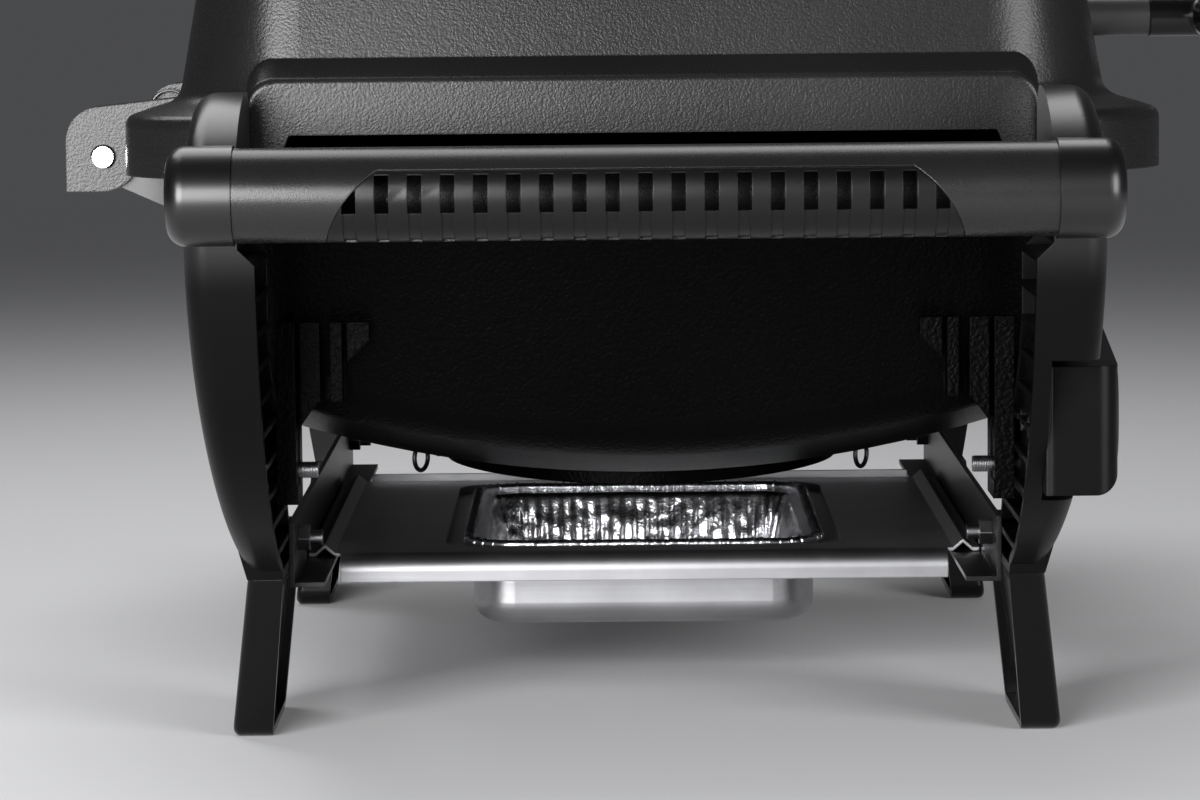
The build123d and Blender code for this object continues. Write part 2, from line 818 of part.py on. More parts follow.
# Legs: moulded channels that sweep down from the carry handles, open and ribbed on the inside
def leg_profile(end, inset):
    """Face of a leg seen from the front, drawn inwards by an inset."""
    hub = (leg_centre_x, leg_centre_z)
    toe_z = leg_bottom_z + leg_toe
    toe_x = leg_centre_x + sqrt(leg_outer_r**2 - (leg_centre_z - toe_z) ** 2)
    throat_z = leg_centre_z - sqrt(leg_inner_r**2 - (horn_inner_x - leg_centre_x) ** 2)
    knuckle_top = on_arc((bar_x, bar_z), 0.48 * knuckle_d, 126)
    crest = (horn_inner_x + horn_crest, horn_top_z)
    path = [
        on_arc(hub, leg_inner_r, -leg_turn),
        on_arc(hub, leg_inner_r, -leg_turn / 2 - 20),
        (horn_inner_x, throat_z),
        (horn_inner_x, horn_top_z - horn_corner),
        (horn_inner_x + horn_crest / 4, horn_top_z - horn_corner / 4),
        crest,
        ((crest[0] + knuckle_top[0]) / 2, crest[1] - horn_corner / 2),
        knuckle_top,
        on_arc(hub, leg_outer_r, 0),
        on_arc(hub, leg_outer_r, -38),
        (toe_x, toe_z),
        (toe_x - leg_toe, leg_bottom_z),
        (leg_end_x, leg_bottom_z),
        (leg_end_x, leg_bottom_z + leg_end_height),
        (leg_end_x + leg_end_length, leg_bottom_z + leg_end_height + leg_end_rise),
    ]
    points = [(end * x, z) for x, z in path]
    with BuildSketch(along(0)) as profile:
        with BuildLine():
            ThreePointArc(points[0], points[1], points[2])
            Line(points[2], points[3])
            ThreePointArc(points[3], points[4], points[5])
            ThreePointArc(points[5], points[6], points[7])
            Line(points[7], points[8])
            ThreePointArc(points[8], points[9], points[10])
            Polyline(points[10], points[11], points[12], points[13], points[14], points[0])
        make_face()
        if inset:
            offset(amount=-inset, mode=Mode.REPLACE)
    return profile.sketch


def box_slab(end, reach, margin):
    """Slab outside a reach on the front, over the height of the control box and a margin."""
    with BuildPart() as slab:
        with Locations((end * bar_x, middle_y - reach, box_mid_z)):
            Box(
                2 * bar_x,
                knuckle_reach,
                box_height + 2 * margin,
                align=(Align.CENTER, Align.MAX, Align.CENTER),
            )
    return slab.part


def leg_pocket(side, end, carries_box):
    """Hollow of a leg between its ribs, less the bosses for the bolts."""
    with BuildPart() as pocket:
        extrude(leg_profile(end, leg_wall), amount=knuckle_reach, dir=(0, side, 0))
        with BuildSketch(cross(0)):
            with BuildLine():
                Polyline(
                    (side * (leg_inner - leg_wall), leg_bottom_z),
                    (side * (leg_outer_low - leg_wall), leg_bottom_z),
                    (side * (leg_outer_top - leg_wall), strap_low_z),
                    (side * (leg_inner - leg_wall), strap_low_z),
                    close=True,
                )
            make_face()
        extrude(amount=end * 2 * bar_x, mode=Mode.INTERSECT)
        rib_count = int((strap_low_z - leg_bottom_z) / rib_pitch)
        rib_zs = [leg_bottom_z + (i + 1) * rib_pitch for i in range(rib_count)]
        with Locations(*[(end * bar_x, middle_y, z) for z in rib_zs]):
            Box(2 * bar_x, 2 * knuckle_reach, rib_thickness, mode=Mode.SUBTRACT)
        with BuildSketch(along(0)):
            with Locations((end * ear_x, ear_bolt_z), (end * rail_bolt_x, rail_bolt_z)):
                Circle(boss_d / 2)
        extrude(amount=-side * knuckle_reach, mode=Mode.SUBTRACT)
        if carries_box:
            slab = box_slab(end, leg_seat - leg_wall, box_margin + leg_wall)
            add(slab, mode=Mode.SUBTRACT)
    return pocket.part


def leg(side, end, carries_box=False):
    """One leg with the knuckle of a carry handle, and a seat for the control box if it has one."""
    pocket = leg_pocket(side, end, carries_box)
    with BuildPart() as knuckle:
        with BuildSketch(along(side * bar_half_length)):
            with Locations((end * bar_x, bar_z)):
                Circle(knuckle_d / 2)
        extrude(amount=-side * (knuckle_reach - bar_half_length))
        cap = knuckle.faces().sort_by(Axis.Y)[0 if side == front else -1]
        fillet(cap.edges(), knuckle_round)
    with BuildPart() as piece:
        extrude(leg_profile(end, 0), amount=knuckle_reach, dir=(0, side, 0))
        with BuildSketch(cross(0)):
            with BuildLine():
                ThreePointArc(
                    (side * leg_outer_low, leg_bottom_z),
                    (side * leg_outer_top, strap_low_z),
                    (side * strap_outer, horn_top_z),
                )
                Polyline(
                    (side * strap_outer, horn_top_z),
                    (side * bar_half_length, horn_top_z),
                    (side * bar_half_length, strap_low_z),
                    (side * leg_inner, strap_low_z - bar_half_length + leg_inner),
                    (side * leg_inner, leg_bottom_z),
                    (side * leg_outer_low, leg_bottom_z),
                )
            make_face()
        extrude(amount=end * 2 * bar_x, mode=Mode.INTERSECT)
        skin = piece.faces().sort_by(Axis.Y)[0 if side == front else -1]
        fillet(skin.edges().sort_by(SortBy.LENGTH)[-1:], leg_round)
        rims = [e for e in piece.edges() if e.center().Z > bar_z + knuckle_d / 2]
        fillet([e for e in rims if side * (e.center().Y - middle_y) > strap_outer - horn_round], horn_round)
        add(knuckle.part)
        add(pocket, mode=Mode.SUBTRACT)
        with BuildSketch(along(side * leg_inner)):
            with Locations((end * ear_x, ear_bolt_z), (end * rail_bolt_x, rail_bolt_z)):
                Circle(bolt_d / 2 + fit)
        extrude(amount=-side * knuckle_reach, mode=Mode.SUBTRACT)
        with BuildSketch(along(side * bolt_seat)):
            with Locations((end * ear_x, ear_bolt_z), (end * rail_bolt_x, rail_bolt_z)):
                Circle(bolt_head_d / 2 + fit)
        extrude(amount=-side * knuckle_reach, mode=Mode.SUBTRACT)
        if carries_box:
            add(box_slab(end, leg_seat, box_margin), mode=Mode.SUBTRACT)
            with BuildSketch(along(side * leg_inner)):
                with Locations(*[(x, box_mid_z) for x in box_screw_xs]):
                    Circle(box_screw_d / 2 + fit)
            extrude(amount=-side * knuckle_reach, mode=Mode.SUBTRACT)
            with BuildSketch(along(side * leg_inner)):
                with Locations(*[(x, box_mid_z) for x in box_screw_xs]):
                    Circle(box_screw_d + fit)
            extrude(amount=leg_seat - leg_wall - leg_inner, mode=Mode.SUBTRACT)
    return piece


front_left_leg = leg(front, -1, carries_box=True)
rear_left_leg = leg(rear, -1)
front_right_leg = leg(front, 1)
rear_right_leg = leg(rear, 1)


# Feet: channels that splay outwards to the floor, open to the inside
def foot_block(side, end, inset, skin):
    """Form of a foot, drawn inwards by an inset, with its outer face moved in by a skin."""
    with BuildPart() as block:
        with BuildSketch(along(0)):
            with BuildLine():
                Polyline(
                    (end * (foot_top_in + inset), leg_bottom_z - inset),
                    (end * (foot_top_out - inset), leg_bottom_z - inset),
                    (end * (foot_low_out - inset), inset),
                    (end * (foot_low_in + inset), inset),
                    close=True,
                )
            make_face()
        extrude(amount=-side * knuckle_reach)
        with BuildSketch(cross(0)):
            with BuildLine():
                Polyline(
                    (side * (leg_inner - inset), leg_bottom_z),
                    (side * (leg_outer_low - skin), leg_bottom_z),
                    (side * (leg_inner + foot_splay + foot_width - skin), 0),
                    (side * (leg_inner + foot_splay - inset), 0),
                    close=True,
                )
            make_face()
        extrude(amount=end * 2 * bar_x, mode=Mode.INTERSECT)
    return block.part


def foot(side, end):
    """One foot under the end of a leg."""
    with BuildPart() as piece:
        add(foot_block(side, end, 0, 0))
        ends = piece.faces().sort_by(Axis.Z)[0].edges().sort_by(Axis.X)
        fillet([ends[0], ends[-1]], foot_round)
        skin = piece.faces().sort_by(Axis.Y)[0 if side == front else -1]
        fillet([edge for edge in skin.edges() if edge.center().Z < leg_bottom_z - 1], foot_edge)
        add(foot_block(side, end, foot_wall, foot_width - foot_recess), mode=Mode.SUBTRACT)
    return piece


front_left_foot = foot(front, -1)
rear_left_foot = foot(rear, -1)
front_right_foot = foot(front, 1)
rear_right_foot = foot(rear, 1)


# Rails: bent angles between the legs that carry the catch pan
def rail(side):
    """Angle along one side of the frame, with its shelf turned inwards."""
    with BuildPart() as piece:
        with BuildSketch(cross(-rail_half_length)):
            with BuildLine():
                Polyline(
                    (side * leg_inner, shelf_bottom_z),
                    (side * leg_inner, shelf_bottom_z + rail_height),
                    (side * rail_inner, shelf_bottom_z + rail_height),
                    (side * rail_inner, shelf_top_z),
                    (side * (rail_inner - rail_shelf), shelf_top_z),
                    (side * (rail_inner - rail_shelf), shelf_bottom_z),
                    close=True,
                )
            make_face()
        extrude(amount=2 * rail_half_length)
        with BuildSketch(along(side * rail_inner)):
            with Locations((-rail_bolt_x, rail_bolt_z), (rail_bolt_x, rail_bolt_z)):
                Circle(bolt_d / 2 + fit)
        extrude(amount=rail_web, both=True, mode=Mode.SUBTRACT)
    return piece


front_rail = rail(front)
rear_rail = rail(rear)

# Catch pan: a folded sheet with a ridge at each side, a rolled lip and a drawn well
with BuildPart() as well:
    with BuildSketch(level(well_ledge_z)):
        with Locations((pan_mid_x, 0)):
            RectangleRounded(well_length, well_width, well_corner)
    extrude(amount=-(well_ledge_z - well_bottom_z - pan_sheet))
    fillet(well.faces().sort_by(Axis.Z)[0].edges(), well_corner / 2)

with BuildPart() as catch_pan:
    for side in (front, rear):
        with BuildSketch(cross(pan_near_x)):
            with BuildLine():
                Polyline(
                    (0, pan_top_z),
                    (side * (ridge_y - ridge_half), pan_top_z),
                    (side * ridge_y, pan_top_z + ridge_height),
                    (side * (ridge_y + ridge_half), pan_top_z),
                    (side * pan_half_width, pan_top_z),
                    (side * pan_half_width, pan_bottom_z),
                    (side * (ridge_y + ridge_half), pan_bottom_z),
                    (side * ridge_y, pan_bottom_z + ridge_height),
                    (side * (ridge_y - ridge_half), pan_bottom_z),
                    (0, pan_bottom_z),
                    close=True,
                )
            make_face()
        extrude(amount=pan_far_x - pan_near_x)
    roll_centre = (pan_near_x, pan_top_z - lip_radius)
    inner_roll = lip_radius - pan_sheet
    with BuildSketch(along(0)):
        with BuildLine():
            ThreePointArc(
                on_arc(roll_centre, lip_radius, 90),
                on_arc(roll_centre, lip_radius, 135),
                on_arc(roll_centre, lip_radius, 180),
            )
            Polyline(
                on_arc(roll_centre, lip_radius, 180),
                (pan_near_x - lip_radius, roll_centre[1] - lip_drop),
                (pan_near_x - inner_roll, roll_centre[1] - lip_drop),
                on_arc(roll_centre, inner_roll, 180),
            )
            ThreePointArc(
                on_arc(roll_centre, inner_roll, 180),
                on_arc(roll_centre, inner_roll, 135),
                on_arc(roll_centre, inner_roll, 90),
            )
            Line(on_arc(roll_centre, inner_roll, 90), on_arc(roll_centre, lip_radius, 90))
        make_face()
    extrude(amount=lip_half_length, both=True)
    with Locations((pan_far_x, middle_y, pan_top_z)):
        Box(
            pan_sheet,
            2 * lip_half_length,
            ridge_height,
            align=(Align.MAX, Align.CENTER, Align.MIN),
        )
    with BuildSketch(level(pan_top_z)):
        with Locations((pan_mid_x, 0)):
            RectangleRounded(
                well_rim_length + 2 * pan_sheet,
                well_rim_width + 2 * pan_sheet,
                well_rim_corner + pan_sheet,
            )
    extrude(amount=-(well_rim_drop + pan_sheet))
    with BuildSketch(level(well_ledge_z)):
        with Locations((pan_mid_x, 0)):
            RectangleRounded(
                well_length + 2 * pan_sheet, well_width + 2 * pan_sheet, well_corner + pan_sheet
            )
    extrude(amount=-(well_ledge_z - well_bottom_z))
    fillet(catch_pan.faces().sort_by(Axis.Z)[0].edges(), well_corner / 2 + pan_sheet)
    with BuildSketch(level(pan_top_z + ridge_height)):
        with Locations((pan_mid_x, 0)):
            RectangleRounded(well_rim_length, well_rim_width, well_rim_corner)
    extrude(amount=-(well_rim_drop + ridge_height), mode=Mode.SUBTRACT)
    add(well.part, mode=Mode.SUBTRACT)

# Drip tray: pressed foil that hangs in the well by its rim
with BuildPart() as foil_tray:
    foil_flat = foil_rim_length - 4 * foil_rim
    foil_narrow = foil_rim_width - 4 * foil_rim
    with BuildSketch(level(well_ledge_z)):
        with Locations((pan_mid_x, 0)):
            RectangleRounded(foil_rim_length, foil_rim_width, foil_corner + 2 * foil_rim)
    extrude(amount=foil_wall)
    with BuildSketch(level(well_ledge_z + foil_wall)):
        with Locations((pan_mid_x, 0)):
            RectangleRounded(foil_flat, foil_narrow, foil_corner)
    extrude(amount=-foil_depth, taper=foil_draft)
    with BuildSketch(level(well_ledge_z + foil_wall)):
        with Locations((pan_mid_x, 0)):
            RectangleRounded(
                foil_flat - 2 * foil_wall, foil_narrow - 2 * foil_wall, foil_corner - foil_wall
            )
    extrude(amount=-(foil_depth - foil_wall), taper=foil_draft, mode=Mode.SUBTRACT)

# Control housing: a moulded box on the front left leg, hollowed out for the switch gear
with BuildPart() as box_cavity:
    with BuildSketch(level(box_bottom_z + box_wall)):
        with BuildLine():
            Polyline(
                (box_near_x + box_wall, -box_back + box_wall),
                (box_near_x + box_wall, -box_near_reach + box_wall),
                (box_far_x - box_wall, -box_far_reach + box_wall),
                (box_far_x - box_wall, -box_back - box_wall),
                (cover_far_x - box_wall, -box_back - box_wall),
                (cover_far_x - box_wall, -box_back + box_wall),
                close=True,
            )
        make_face()
    extrude(amount=box_height - 2 * box_wall)
    face_edges = box_cavity.faces().sort_by(Axis.Y)[0].edges()
    fillet([face_edges.sort_by(Axis.X)[0], face_edges.sort_by(Axis.Z)[0]], box_round - box_wall)
    add(bowl_box_inside, mode=Mode.SUBTRACT)

with BuildPart() as control_housing:
    with BuildSketch(level(box_bottom_z)):
        with BuildLine():
            Polyline(
                (box_near_x, -box_back),
                (box_near_x, -box_near_reach),
                (box_far_x, -box_far_reach),
                (box_far_x, -box_back),
                close=True,
            )
        make_face()
    extrude(amount=box_height)
    face_edges = control_housing.faces().sort_by(Axis.Y)[0].edges()
    fillet([face_edges.sort_by(Axis.X)[0], face_edges.sort_by(Axis.Z)[0]], box_round)
    add(bowl_keepout, mode=Mode.SUBTRACT)
    add(box_cavity.part, mode=Mode.SUBTRACT)
    with BuildSketch(on_front(knob_x, knob_sink + box_wall)):
        Circle(knob_d / 2 + knob_gap + box_wall)
    extrude(amount=knob_sink + box_wall / 2)
    for x in box_screw_xs:
        with BuildSketch(along(-box_back)):
            with Locations((x, box_mid_z)):
                Circle(box_screw_d)
        extrude(amount=box_front(x) - box_back - box_wall / 2)
    with BuildSketch(on_front(knob_x, knob_sink)):
        Circle(knob_d / 2 + knob_gap)
    extrude(amount=2 * knob_sink, mode=Mode.SUBTRACT)
    with BuildSketch(on_front(knob_x, 0)):
        Circle(shaft_d / 2 + shaft_clearance)
    extrude(amount=-2 * knob_sink, mode=Mode.SUBTRACT)
    with BuildSketch(on_front(lens_x, 2 * box_wall)):
        Circle(lens_d / 2 + fit)
    extrude(amount=4 * box_wall, mode=Mode.SUBTRACT)
    with BuildSketch(along(-box_back)):
        with Locations(*[(x, box_mid_z) for x in box_screw_xs]):
            Circle(box_screw_d / 2)
    extrude(amount=box_screw_length - leg_wall, mode=Mode.SUBTRACT)
    with BuildSketch(along(-element_end)):
        with Locations(*[(x, element_z) for x in terminal_xs]):
            Circle(sleeve_d / 2)
    extrude(amount=-3 * sleeve_d, mode=Mode.SUBTRACT)
    with BuildSketch(level(box_bottom_z)):
        with Locations((gland_x, -gland_y)):
            Circle(gland_neck_d / 2)
    extrude(amount=box_wall, mode=Mode.SUBTRACT)

with BuildPart() as control_back_cover:
    with BuildSketch(along(-leg_seat)):
        with Locations(((box_near_x + cover_far_x) / 2, box_mid_z)):
            Rectangle(cover_far_x - box_near_x, box_height)
        with Locations(*[(x, box_mid_z) for x in box_screw_xs]):
            Circle(box_screw_d / 2 + fit, mode=Mode.SUBTRACT)
    extrude(amount=cover_thickness)

with BuildPart() as control_screws:
    with BuildSketch(along(-(leg_seat - leg_wall))):
        with Locations(*[(x, box_mid_z) for x in box_screw_xs]):
            Circle(box_screw_d)
    extrude(amount=-bolt_boss)
    with BuildSketch(along(-(leg_seat - leg_wall))):
        with Locations(*[(x, box_mid_z) for x in box_screw_xs]):
            Circle(box_screw_d / 2)
    extrude(amount=box_screw_length)

# Knob sunk into the front of the housing, with a finger bar, on the shaft of the thermostat
with BuildPart() as control_knob:
    with BuildSketch(on_front(knob_x, knob_sink - knob_gap)):
        Circle(knob_d / 2)
    extrude(amount=knob_sink - knob_gap + knob_proud)
    with BuildSketch(on_front(knob_x, -knob_proud)):
        Circle(knob_d / 2 - box_wall)
        Rectangle(knob_d, knob_bar, mode=Mode.SUBTRACT)
    extrude(amount=-knob_scoop, mode=Mode.SUBTRACT)
    with BuildSketch(on_front(knob_x, knob_sink - knob_gap)):
        Circle(shaft_d / 2)
    extrude(amount=knob_scoop, mode=Mode.SUBTRACT)

shaft_depth = knob_sink + box_wall + thermostat_depth / 2
with BuildPart() as knob_shaft:
    with BuildSketch(on_front(knob_x, shaft_depth - seat_clearance)):
        Circle(shaft_d / 2)
    extrude(amount=shaft_depth - seat_clearance - knob_sink + knob_gap + knob_scoop)

with BuildPart() as thermostat:
    with BuildSketch(on_front(knob_x, knob_sink + box_wall)):
        Circle(thermostat_d / 2)
    extrude(amount=-thermostat_depth)
    with BuildSketch(on_front(knob_x, knob_sink)):
        Circle(shaft_d / 2 + shaft_clearance)
    extrude(amount=knob_sink - shaft_depth, mode=Mode.SUBTRACT)

with BuildPart() as indicator_lens:
    with BuildSketch(on_front(lens_x, box_wall)):
        Circle(lens_d / 2)
    extrude(amount=box_wall + lens_proud)

with BuildPart() as cord_gland:
    with BuildSketch(level(box_bottom_z)):
        with Locations((gland_x, -gland_y)):
            Circle(gland_d / 2)
    extrude(amount=-gland_length)
    with BuildSketch(level(box_bottom_z)):
        with Locations((gland_x, -gland_y)):
            Circle(gland_neck_d / 2)
    extrude(amount=box_wall)
    with BuildSketch(level(box_bottom_z - gland_length)):
        with Locations((gland_x, -gland_y)):
            Circle(gland_bore / 2)
    extrude(amount=gland_length + box_wall, mode=Mode.SUBTRACT)

with BuildPart() as terminal_block:
    with BuildSketch(along(-element_end)):
        with Locations((terminal_x, element_z)):
            Rectangle(terminal_pitch + 2 * terminal_block_edge, terminal_block_height)
    extrude(amount=terminal_block_depth)

# Heating element: one bent tube whose ends leave the bowl in ceramic sleeves
element_rows = [element_rear - i * element_step for i in range(4)]
element_path = [
    (terminal_xs[0], -element_end),
    (terminal_xs[0], element_rows[0]),
    (element_right, element_rows[0]),
    (element_right, element_rows[1]),
    (element_left, element_rows[1]),
    (element_left, element_rows[2]),
    (element_right, element_rows[2]),
    (element_right, element_rows[3]),
    (terminal_xs[1], element_rows[3]),
    (terminal_xs[1], -element_end),
]
with BuildPart() as heating_element:
    with BuildLine(level(element_z)):
        FilletPolyline(*element_path, radius=element_bend)
    with BuildSketch(along(-element_end)):
        with Locations((terminal_xs[0], element_z)):
            Circle(element_d / 2)
    sweep()

with BuildPart() as terminal_sleeves:
    for x in terminal_xs:
        sleeve_start = bowl_reach(element_z, x) - sleeve_back
        with BuildSketch(along(-sleeve_start)):
            with Locations((x, element_z)):
                Circle(sleeve_d / 2)
                Circle(element_d / 2, mode=Mode.SUBTRACT)
        extrude(amount=element_end - sleeve_front - sleeve_start)

with BuildPart() as element_brackets:
    bracket_top = element_z - element_d / 2
    with Locations(*[(x, middle_y, bracket_top) for x in bracket_xs]):
        Box(bracket_width, 2 * bowl_half_depth, bracket_sheet, align=hanging)
    add(bowl_inside, mode=Mode.INTERSECT)


# Grates: two castings side by side on the ledges, with slots that follow the rounded corners
def grate(end):
    """One half of the cooking grate."""
    edge_gap = bowl_wall + grate_clearance
    half_length = bowl_end(grate_ledge_z) - edge_gap
    half_depth = bowl_reach(grate_ledge_z) - edge_gap
    corner = bowl_corner - (rim_z - grate_ledge_z) * bowl_tan - edge_gap
    pitch = (half_length - grate_gap / 2 - grate_edge) / grate_bars
    slot = pitch - grate_edge
    with BuildPart() as piece:
        with BuildSketch(level(grate_ledge_z)):
            RectangleRounded(2 * half_length, 2 * half_depth, corner)
            with Locations((end * grate_gap / 2, 0)):
                Rectangle(
                    2 * half_length,
                    2 * half_depth,
                    align=(Align.MIN if end > 0 else Align.MAX, Align.CENTER),
                    mode=Mode.INTERSECT,
                )
            for i in range(grate_bars):
                x = grate_gap / 2 + grate_edge + slot / 2 + i * pitch
                over = max(x + slot / 2 + grate_edge - half_length + corner, 0)
                reach = half_depth - corner + sqrt(max(corner**2 - over**2, 0)) - 2 * grate_edge
                for side in (front, rear):
                    with Locations((end * x, side * (reach + grate_edge / 2) / 2)):
                        SlotOverall(reach - grate_edge / 2, slot, rotation=90, mode=Mode.SUBTRACT)
        extrude(amount=grate_thickness)
    return piece


grate_left = grate(-1)
grate_right = grate(1)

# Bolts of the frame: the upper ones hold the ears, the lower ones the rails with their nuts
with BuildPart() as frame_bolts:
    for side in (front, rear):
        with BuildSketch(along(side * bolt_seat)):
            with Locations((-ear_x, ear_bolt_z), (ear_x, ear_bolt_z)):
                Circle(bolt_head_d / 2)
        extrude(amount=-side * bolt_head)
        with BuildSketch(along(side * bolt_seat)):
            with Locations((-ear_x, ear_bolt_z), (ear_x, ear_bolt_z)):
                Circle(bolt_d / 2)
        extrude(amount=side * (bolt_boss + ear_bolt_depth))

with BuildPart() as rail_bolts:
    for side in (front, rear):
        with BuildSketch(along(side * bolt_seat)):
            with Locations((-rail_bolt_x, rail_bolt_z), (rail_bolt_x, rail_bolt_z)):
                Circle(bolt_head_d / 2)
        extrude(amount=-side * bolt_head)
        with BuildSketch(along(side * bolt_seat)):
            with Locations((-rail_bolt_x, rail_bolt_z), (rail_bolt_x, rail_bolt_z)):
                Circle(bolt_d / 2)
        extrude(amount=side * bolt_tail)

with BuildPart() as rail_nuts:
    for side in (front, rear):
        with BuildSketch(along(side * rail_inner)):
            with Locations((-rail_bolt_x, rail_bolt_z), (rail_bolt_x, rail_bolt_z)):
                RegularPolygon(nut_d / 2, 6)
                Circle(bolt_d / 2, mode=Mode.SUBTRACT)
        extrude(amount=side * nut)

# Studs with a wire loop on the lugs of the drain collar
with BuildPart() as collar_loops:
    for side in (front, rear):
        with BuildSketch(along(side * lug_face)):
            with Locations((0, lug_mid_z)):
                Circle(stud_d / 2)
        extrude(amount=-side * stud_length)
        place = (0, middle_y + side * (lug_face + stud_length - loop_wire), lug_mid_z)
        turned = (sin(radians(loop_turn)), cos(radians(loop_turn)), 0)
        hung = Plane(origin=place, x_dir=(0, 0, -1), z_dir=turned)
        with Locations(hung * Pos(loop_radius, 0, 0)):
            Torus(loop_radius, loop_wire / 2)

pieces = {
    "lid": lid,
    "hinge_pins": hinge_pins,
    "hinge_pin_clips": hinge_pin_clips,
    "lid_handle_spacers": lid_handle_spacers,
    "lid_handle_arms": lid_handle_arms,
    "lid_handle_grip": lid_handle_grip,
    "lid_handle_end_caps": lid_handle_end_caps,
    "lid_handle_screws": lid_handle_screws,
    "cookbox": cookbox,
    "collar_loops": collar_loops,
    "left_handle_bar": left_handle_bar,
    "right_handle_bar": right_handle_bar,
    "left_grip_insert": left_grip_insert,
    "right_grip_insert": right_grip_insert,
    "front_left_leg": front_left_leg,
    "rear_left_leg": rear_left_leg,
    "front_right_leg": front_right_leg,
    "rear_right_leg": rear_right_leg,
    "front_left_foot": front_left_foot,
    "rear_left_foot": rear_left_foot,
    "front_right_foot": front_right_foot,
    "rear_right_foot": rear_right_foot,
    "front_rail": front_rail,
    "rear_rail": rear_rail,
    "frame_bolts": frame_bolts,
    "rail_bolts": rail_bolts,
    "rail_nuts": rail_nuts,
    "catch_pan": catch_pan,
    "foil_tray": foil_tray,
    "control_housing": control_housing,
    "control_back_cover": control_back_cover,
    "control_screws": control_screws,
    "control_knob": control_knob,
    "knob_shaft": knob_shaft,
    "thermostat": thermostat,
    "indicator_lens": indicator_lens,
    "cord_gland": cord_gland,
    "terminal_block": terminal_block,
    "heating_element": heating_element,
    "terminal_sleeves": terminal_sleeves,
    "element_brackets": element_brackets,
    "grate_left": grate_left,
    "grate_right": grate_right,
}
os.makedirs("parts", exist_ok=True)
for name, piece in pieces.items():
    piece.part.label = name
    export_step(piece.part, f"parts/{name}.step")
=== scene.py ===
import math

import bmesh
import bpy
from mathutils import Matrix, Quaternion, Vector, noise


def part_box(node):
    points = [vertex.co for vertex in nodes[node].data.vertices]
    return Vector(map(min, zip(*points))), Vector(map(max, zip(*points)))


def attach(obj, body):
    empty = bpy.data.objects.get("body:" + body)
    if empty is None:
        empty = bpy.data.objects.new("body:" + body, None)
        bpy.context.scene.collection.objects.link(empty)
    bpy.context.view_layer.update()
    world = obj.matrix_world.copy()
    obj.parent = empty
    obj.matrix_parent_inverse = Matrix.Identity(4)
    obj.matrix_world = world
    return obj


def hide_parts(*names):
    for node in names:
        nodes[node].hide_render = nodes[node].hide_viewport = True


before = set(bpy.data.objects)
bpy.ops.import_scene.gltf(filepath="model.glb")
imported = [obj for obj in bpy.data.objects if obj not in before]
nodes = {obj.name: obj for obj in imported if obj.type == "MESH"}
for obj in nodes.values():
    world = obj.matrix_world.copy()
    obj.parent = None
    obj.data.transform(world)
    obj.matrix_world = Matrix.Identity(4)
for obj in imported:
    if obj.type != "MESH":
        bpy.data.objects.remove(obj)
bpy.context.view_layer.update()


# Feet
# Four moulded nylon feet under the legs, black, with a smooth and rather glossy skin.
# Each is pushed on to the end of its leg and stands flat on the floor.
class Shade:
    """A value in a material: sums and products add Math nodes, and node() adds any other kind."""

    def __init__(self, tree, socket=None):
        self.tree = tree
        self.socket = socket

    def node(self, kind, settings, sockets, output=0):
        made = self.tree.nodes.new(kind)
        for name, value in settings.items():
            setattr(made, name, value)
        for name, value in sockets.items():
            if isinstance(value, Shade):
                self.tree.links.new(value.socket, made.inputs[name])
            else:
                made.inputs[name].default_value = value
        return Shade(self.tree, made.outputs[output])

    def maths(self, operation, first, second):
        return self.node("ShaderNodeMath", {"operation": operation}, {0: first, 1: second})

    def __add__(self, other):
        return self.maths("ADD", self, other)

    def __sub__(self, other):
        return self.maths("SUBTRACT", self, other)

    def __rsub__(self, other):
        return self.maths("SUBTRACT", other, self)

    def __mul__(self, other):
        return self.maths("MULTIPLY", self, other)

    __radd__ = __add__
    __rmul__ = __mul__


def finish_of(name, fixed):
    """New material with its surface shader; fixed gives sockets that are the same all over."""
    material = bpy.data.materials.new(name)
    material.use_nodes = True
    tree = material.node_tree
    surface = tree.nodes["Principled BSDF"]
    for socket, value in fixed.items():
        surface.inputs[socket].default_value = value
    return material, Shade(tree), surface


def place_in(shade):
    """Object coordinates of the piece, in metres."""
    return shade.node("ShaderNodeTexCoord", {}, {}, output=3)


def grain(shade, place, scale, detail=2.0, rough=0.5):
    """Fractal noise between 0 and 1."""
    return shade.node(
        "ShaderNodeTexNoise",
        {},
        {"Vector": place, "Scale": scale, "Detail": detail, "Roughness": rough},
    )


def drawn_out(shade, place, scale):
    """Coordinates stretched by a scale for each axis, for brushing and flow lines."""
    return shade.node("ShaderNodeMapping", {}, {"Vector": place, "Scale": scale})


def blend_colour(shade, factor, first, second):
    """Colour between two others by a factor."""
    return shade.node(
        "ShaderNodeMix", {"data_type": "RGBA"}, {0: factor, 6: first, 7: second}, output=2
    )


def band(shade, value, low, high):
    """0 below low, 1 above high and a smooth step between."""
    return shade.node(
        "ShaderNodeMapRange",
        {"interpolation_type": "SMOOTHSTEP"},
        {"Value": value, "From Min": low, "From Max": high},
    )


def relief(shade, height, depth, strength):
    """Normal of a surface with a fine relief of a depth in metres, its edges slightly eased."""
    eased_radius = 0.0007
    edge = shade.node("ShaderNodeBevel", {"samples": 4}, {"Radius": eased_radius})
    return shade.node(
        "ShaderNodeBump",
        {},
        {"Height": height, "Strength": strength, "Distance": depth, "Normal": edge},
    )


def feed(shade, surface, **outputs):
    """Links values to the surface shader's sockets."""
    for socket, value in outputs.items():
        shade.tree.links.new(value.socket, surface.inputs[socket.replace("_", " ")])


def dress(material, *names):
    """Gives CAD nodes a material."""
    for name in names:
        slots = nodes[name].data.materials
        slots.clear()
        slots.append(material)


def grey(value):
    """Near-neutral colour, very slightly cold."""
    return (value, value, 1.04 * value, 1)


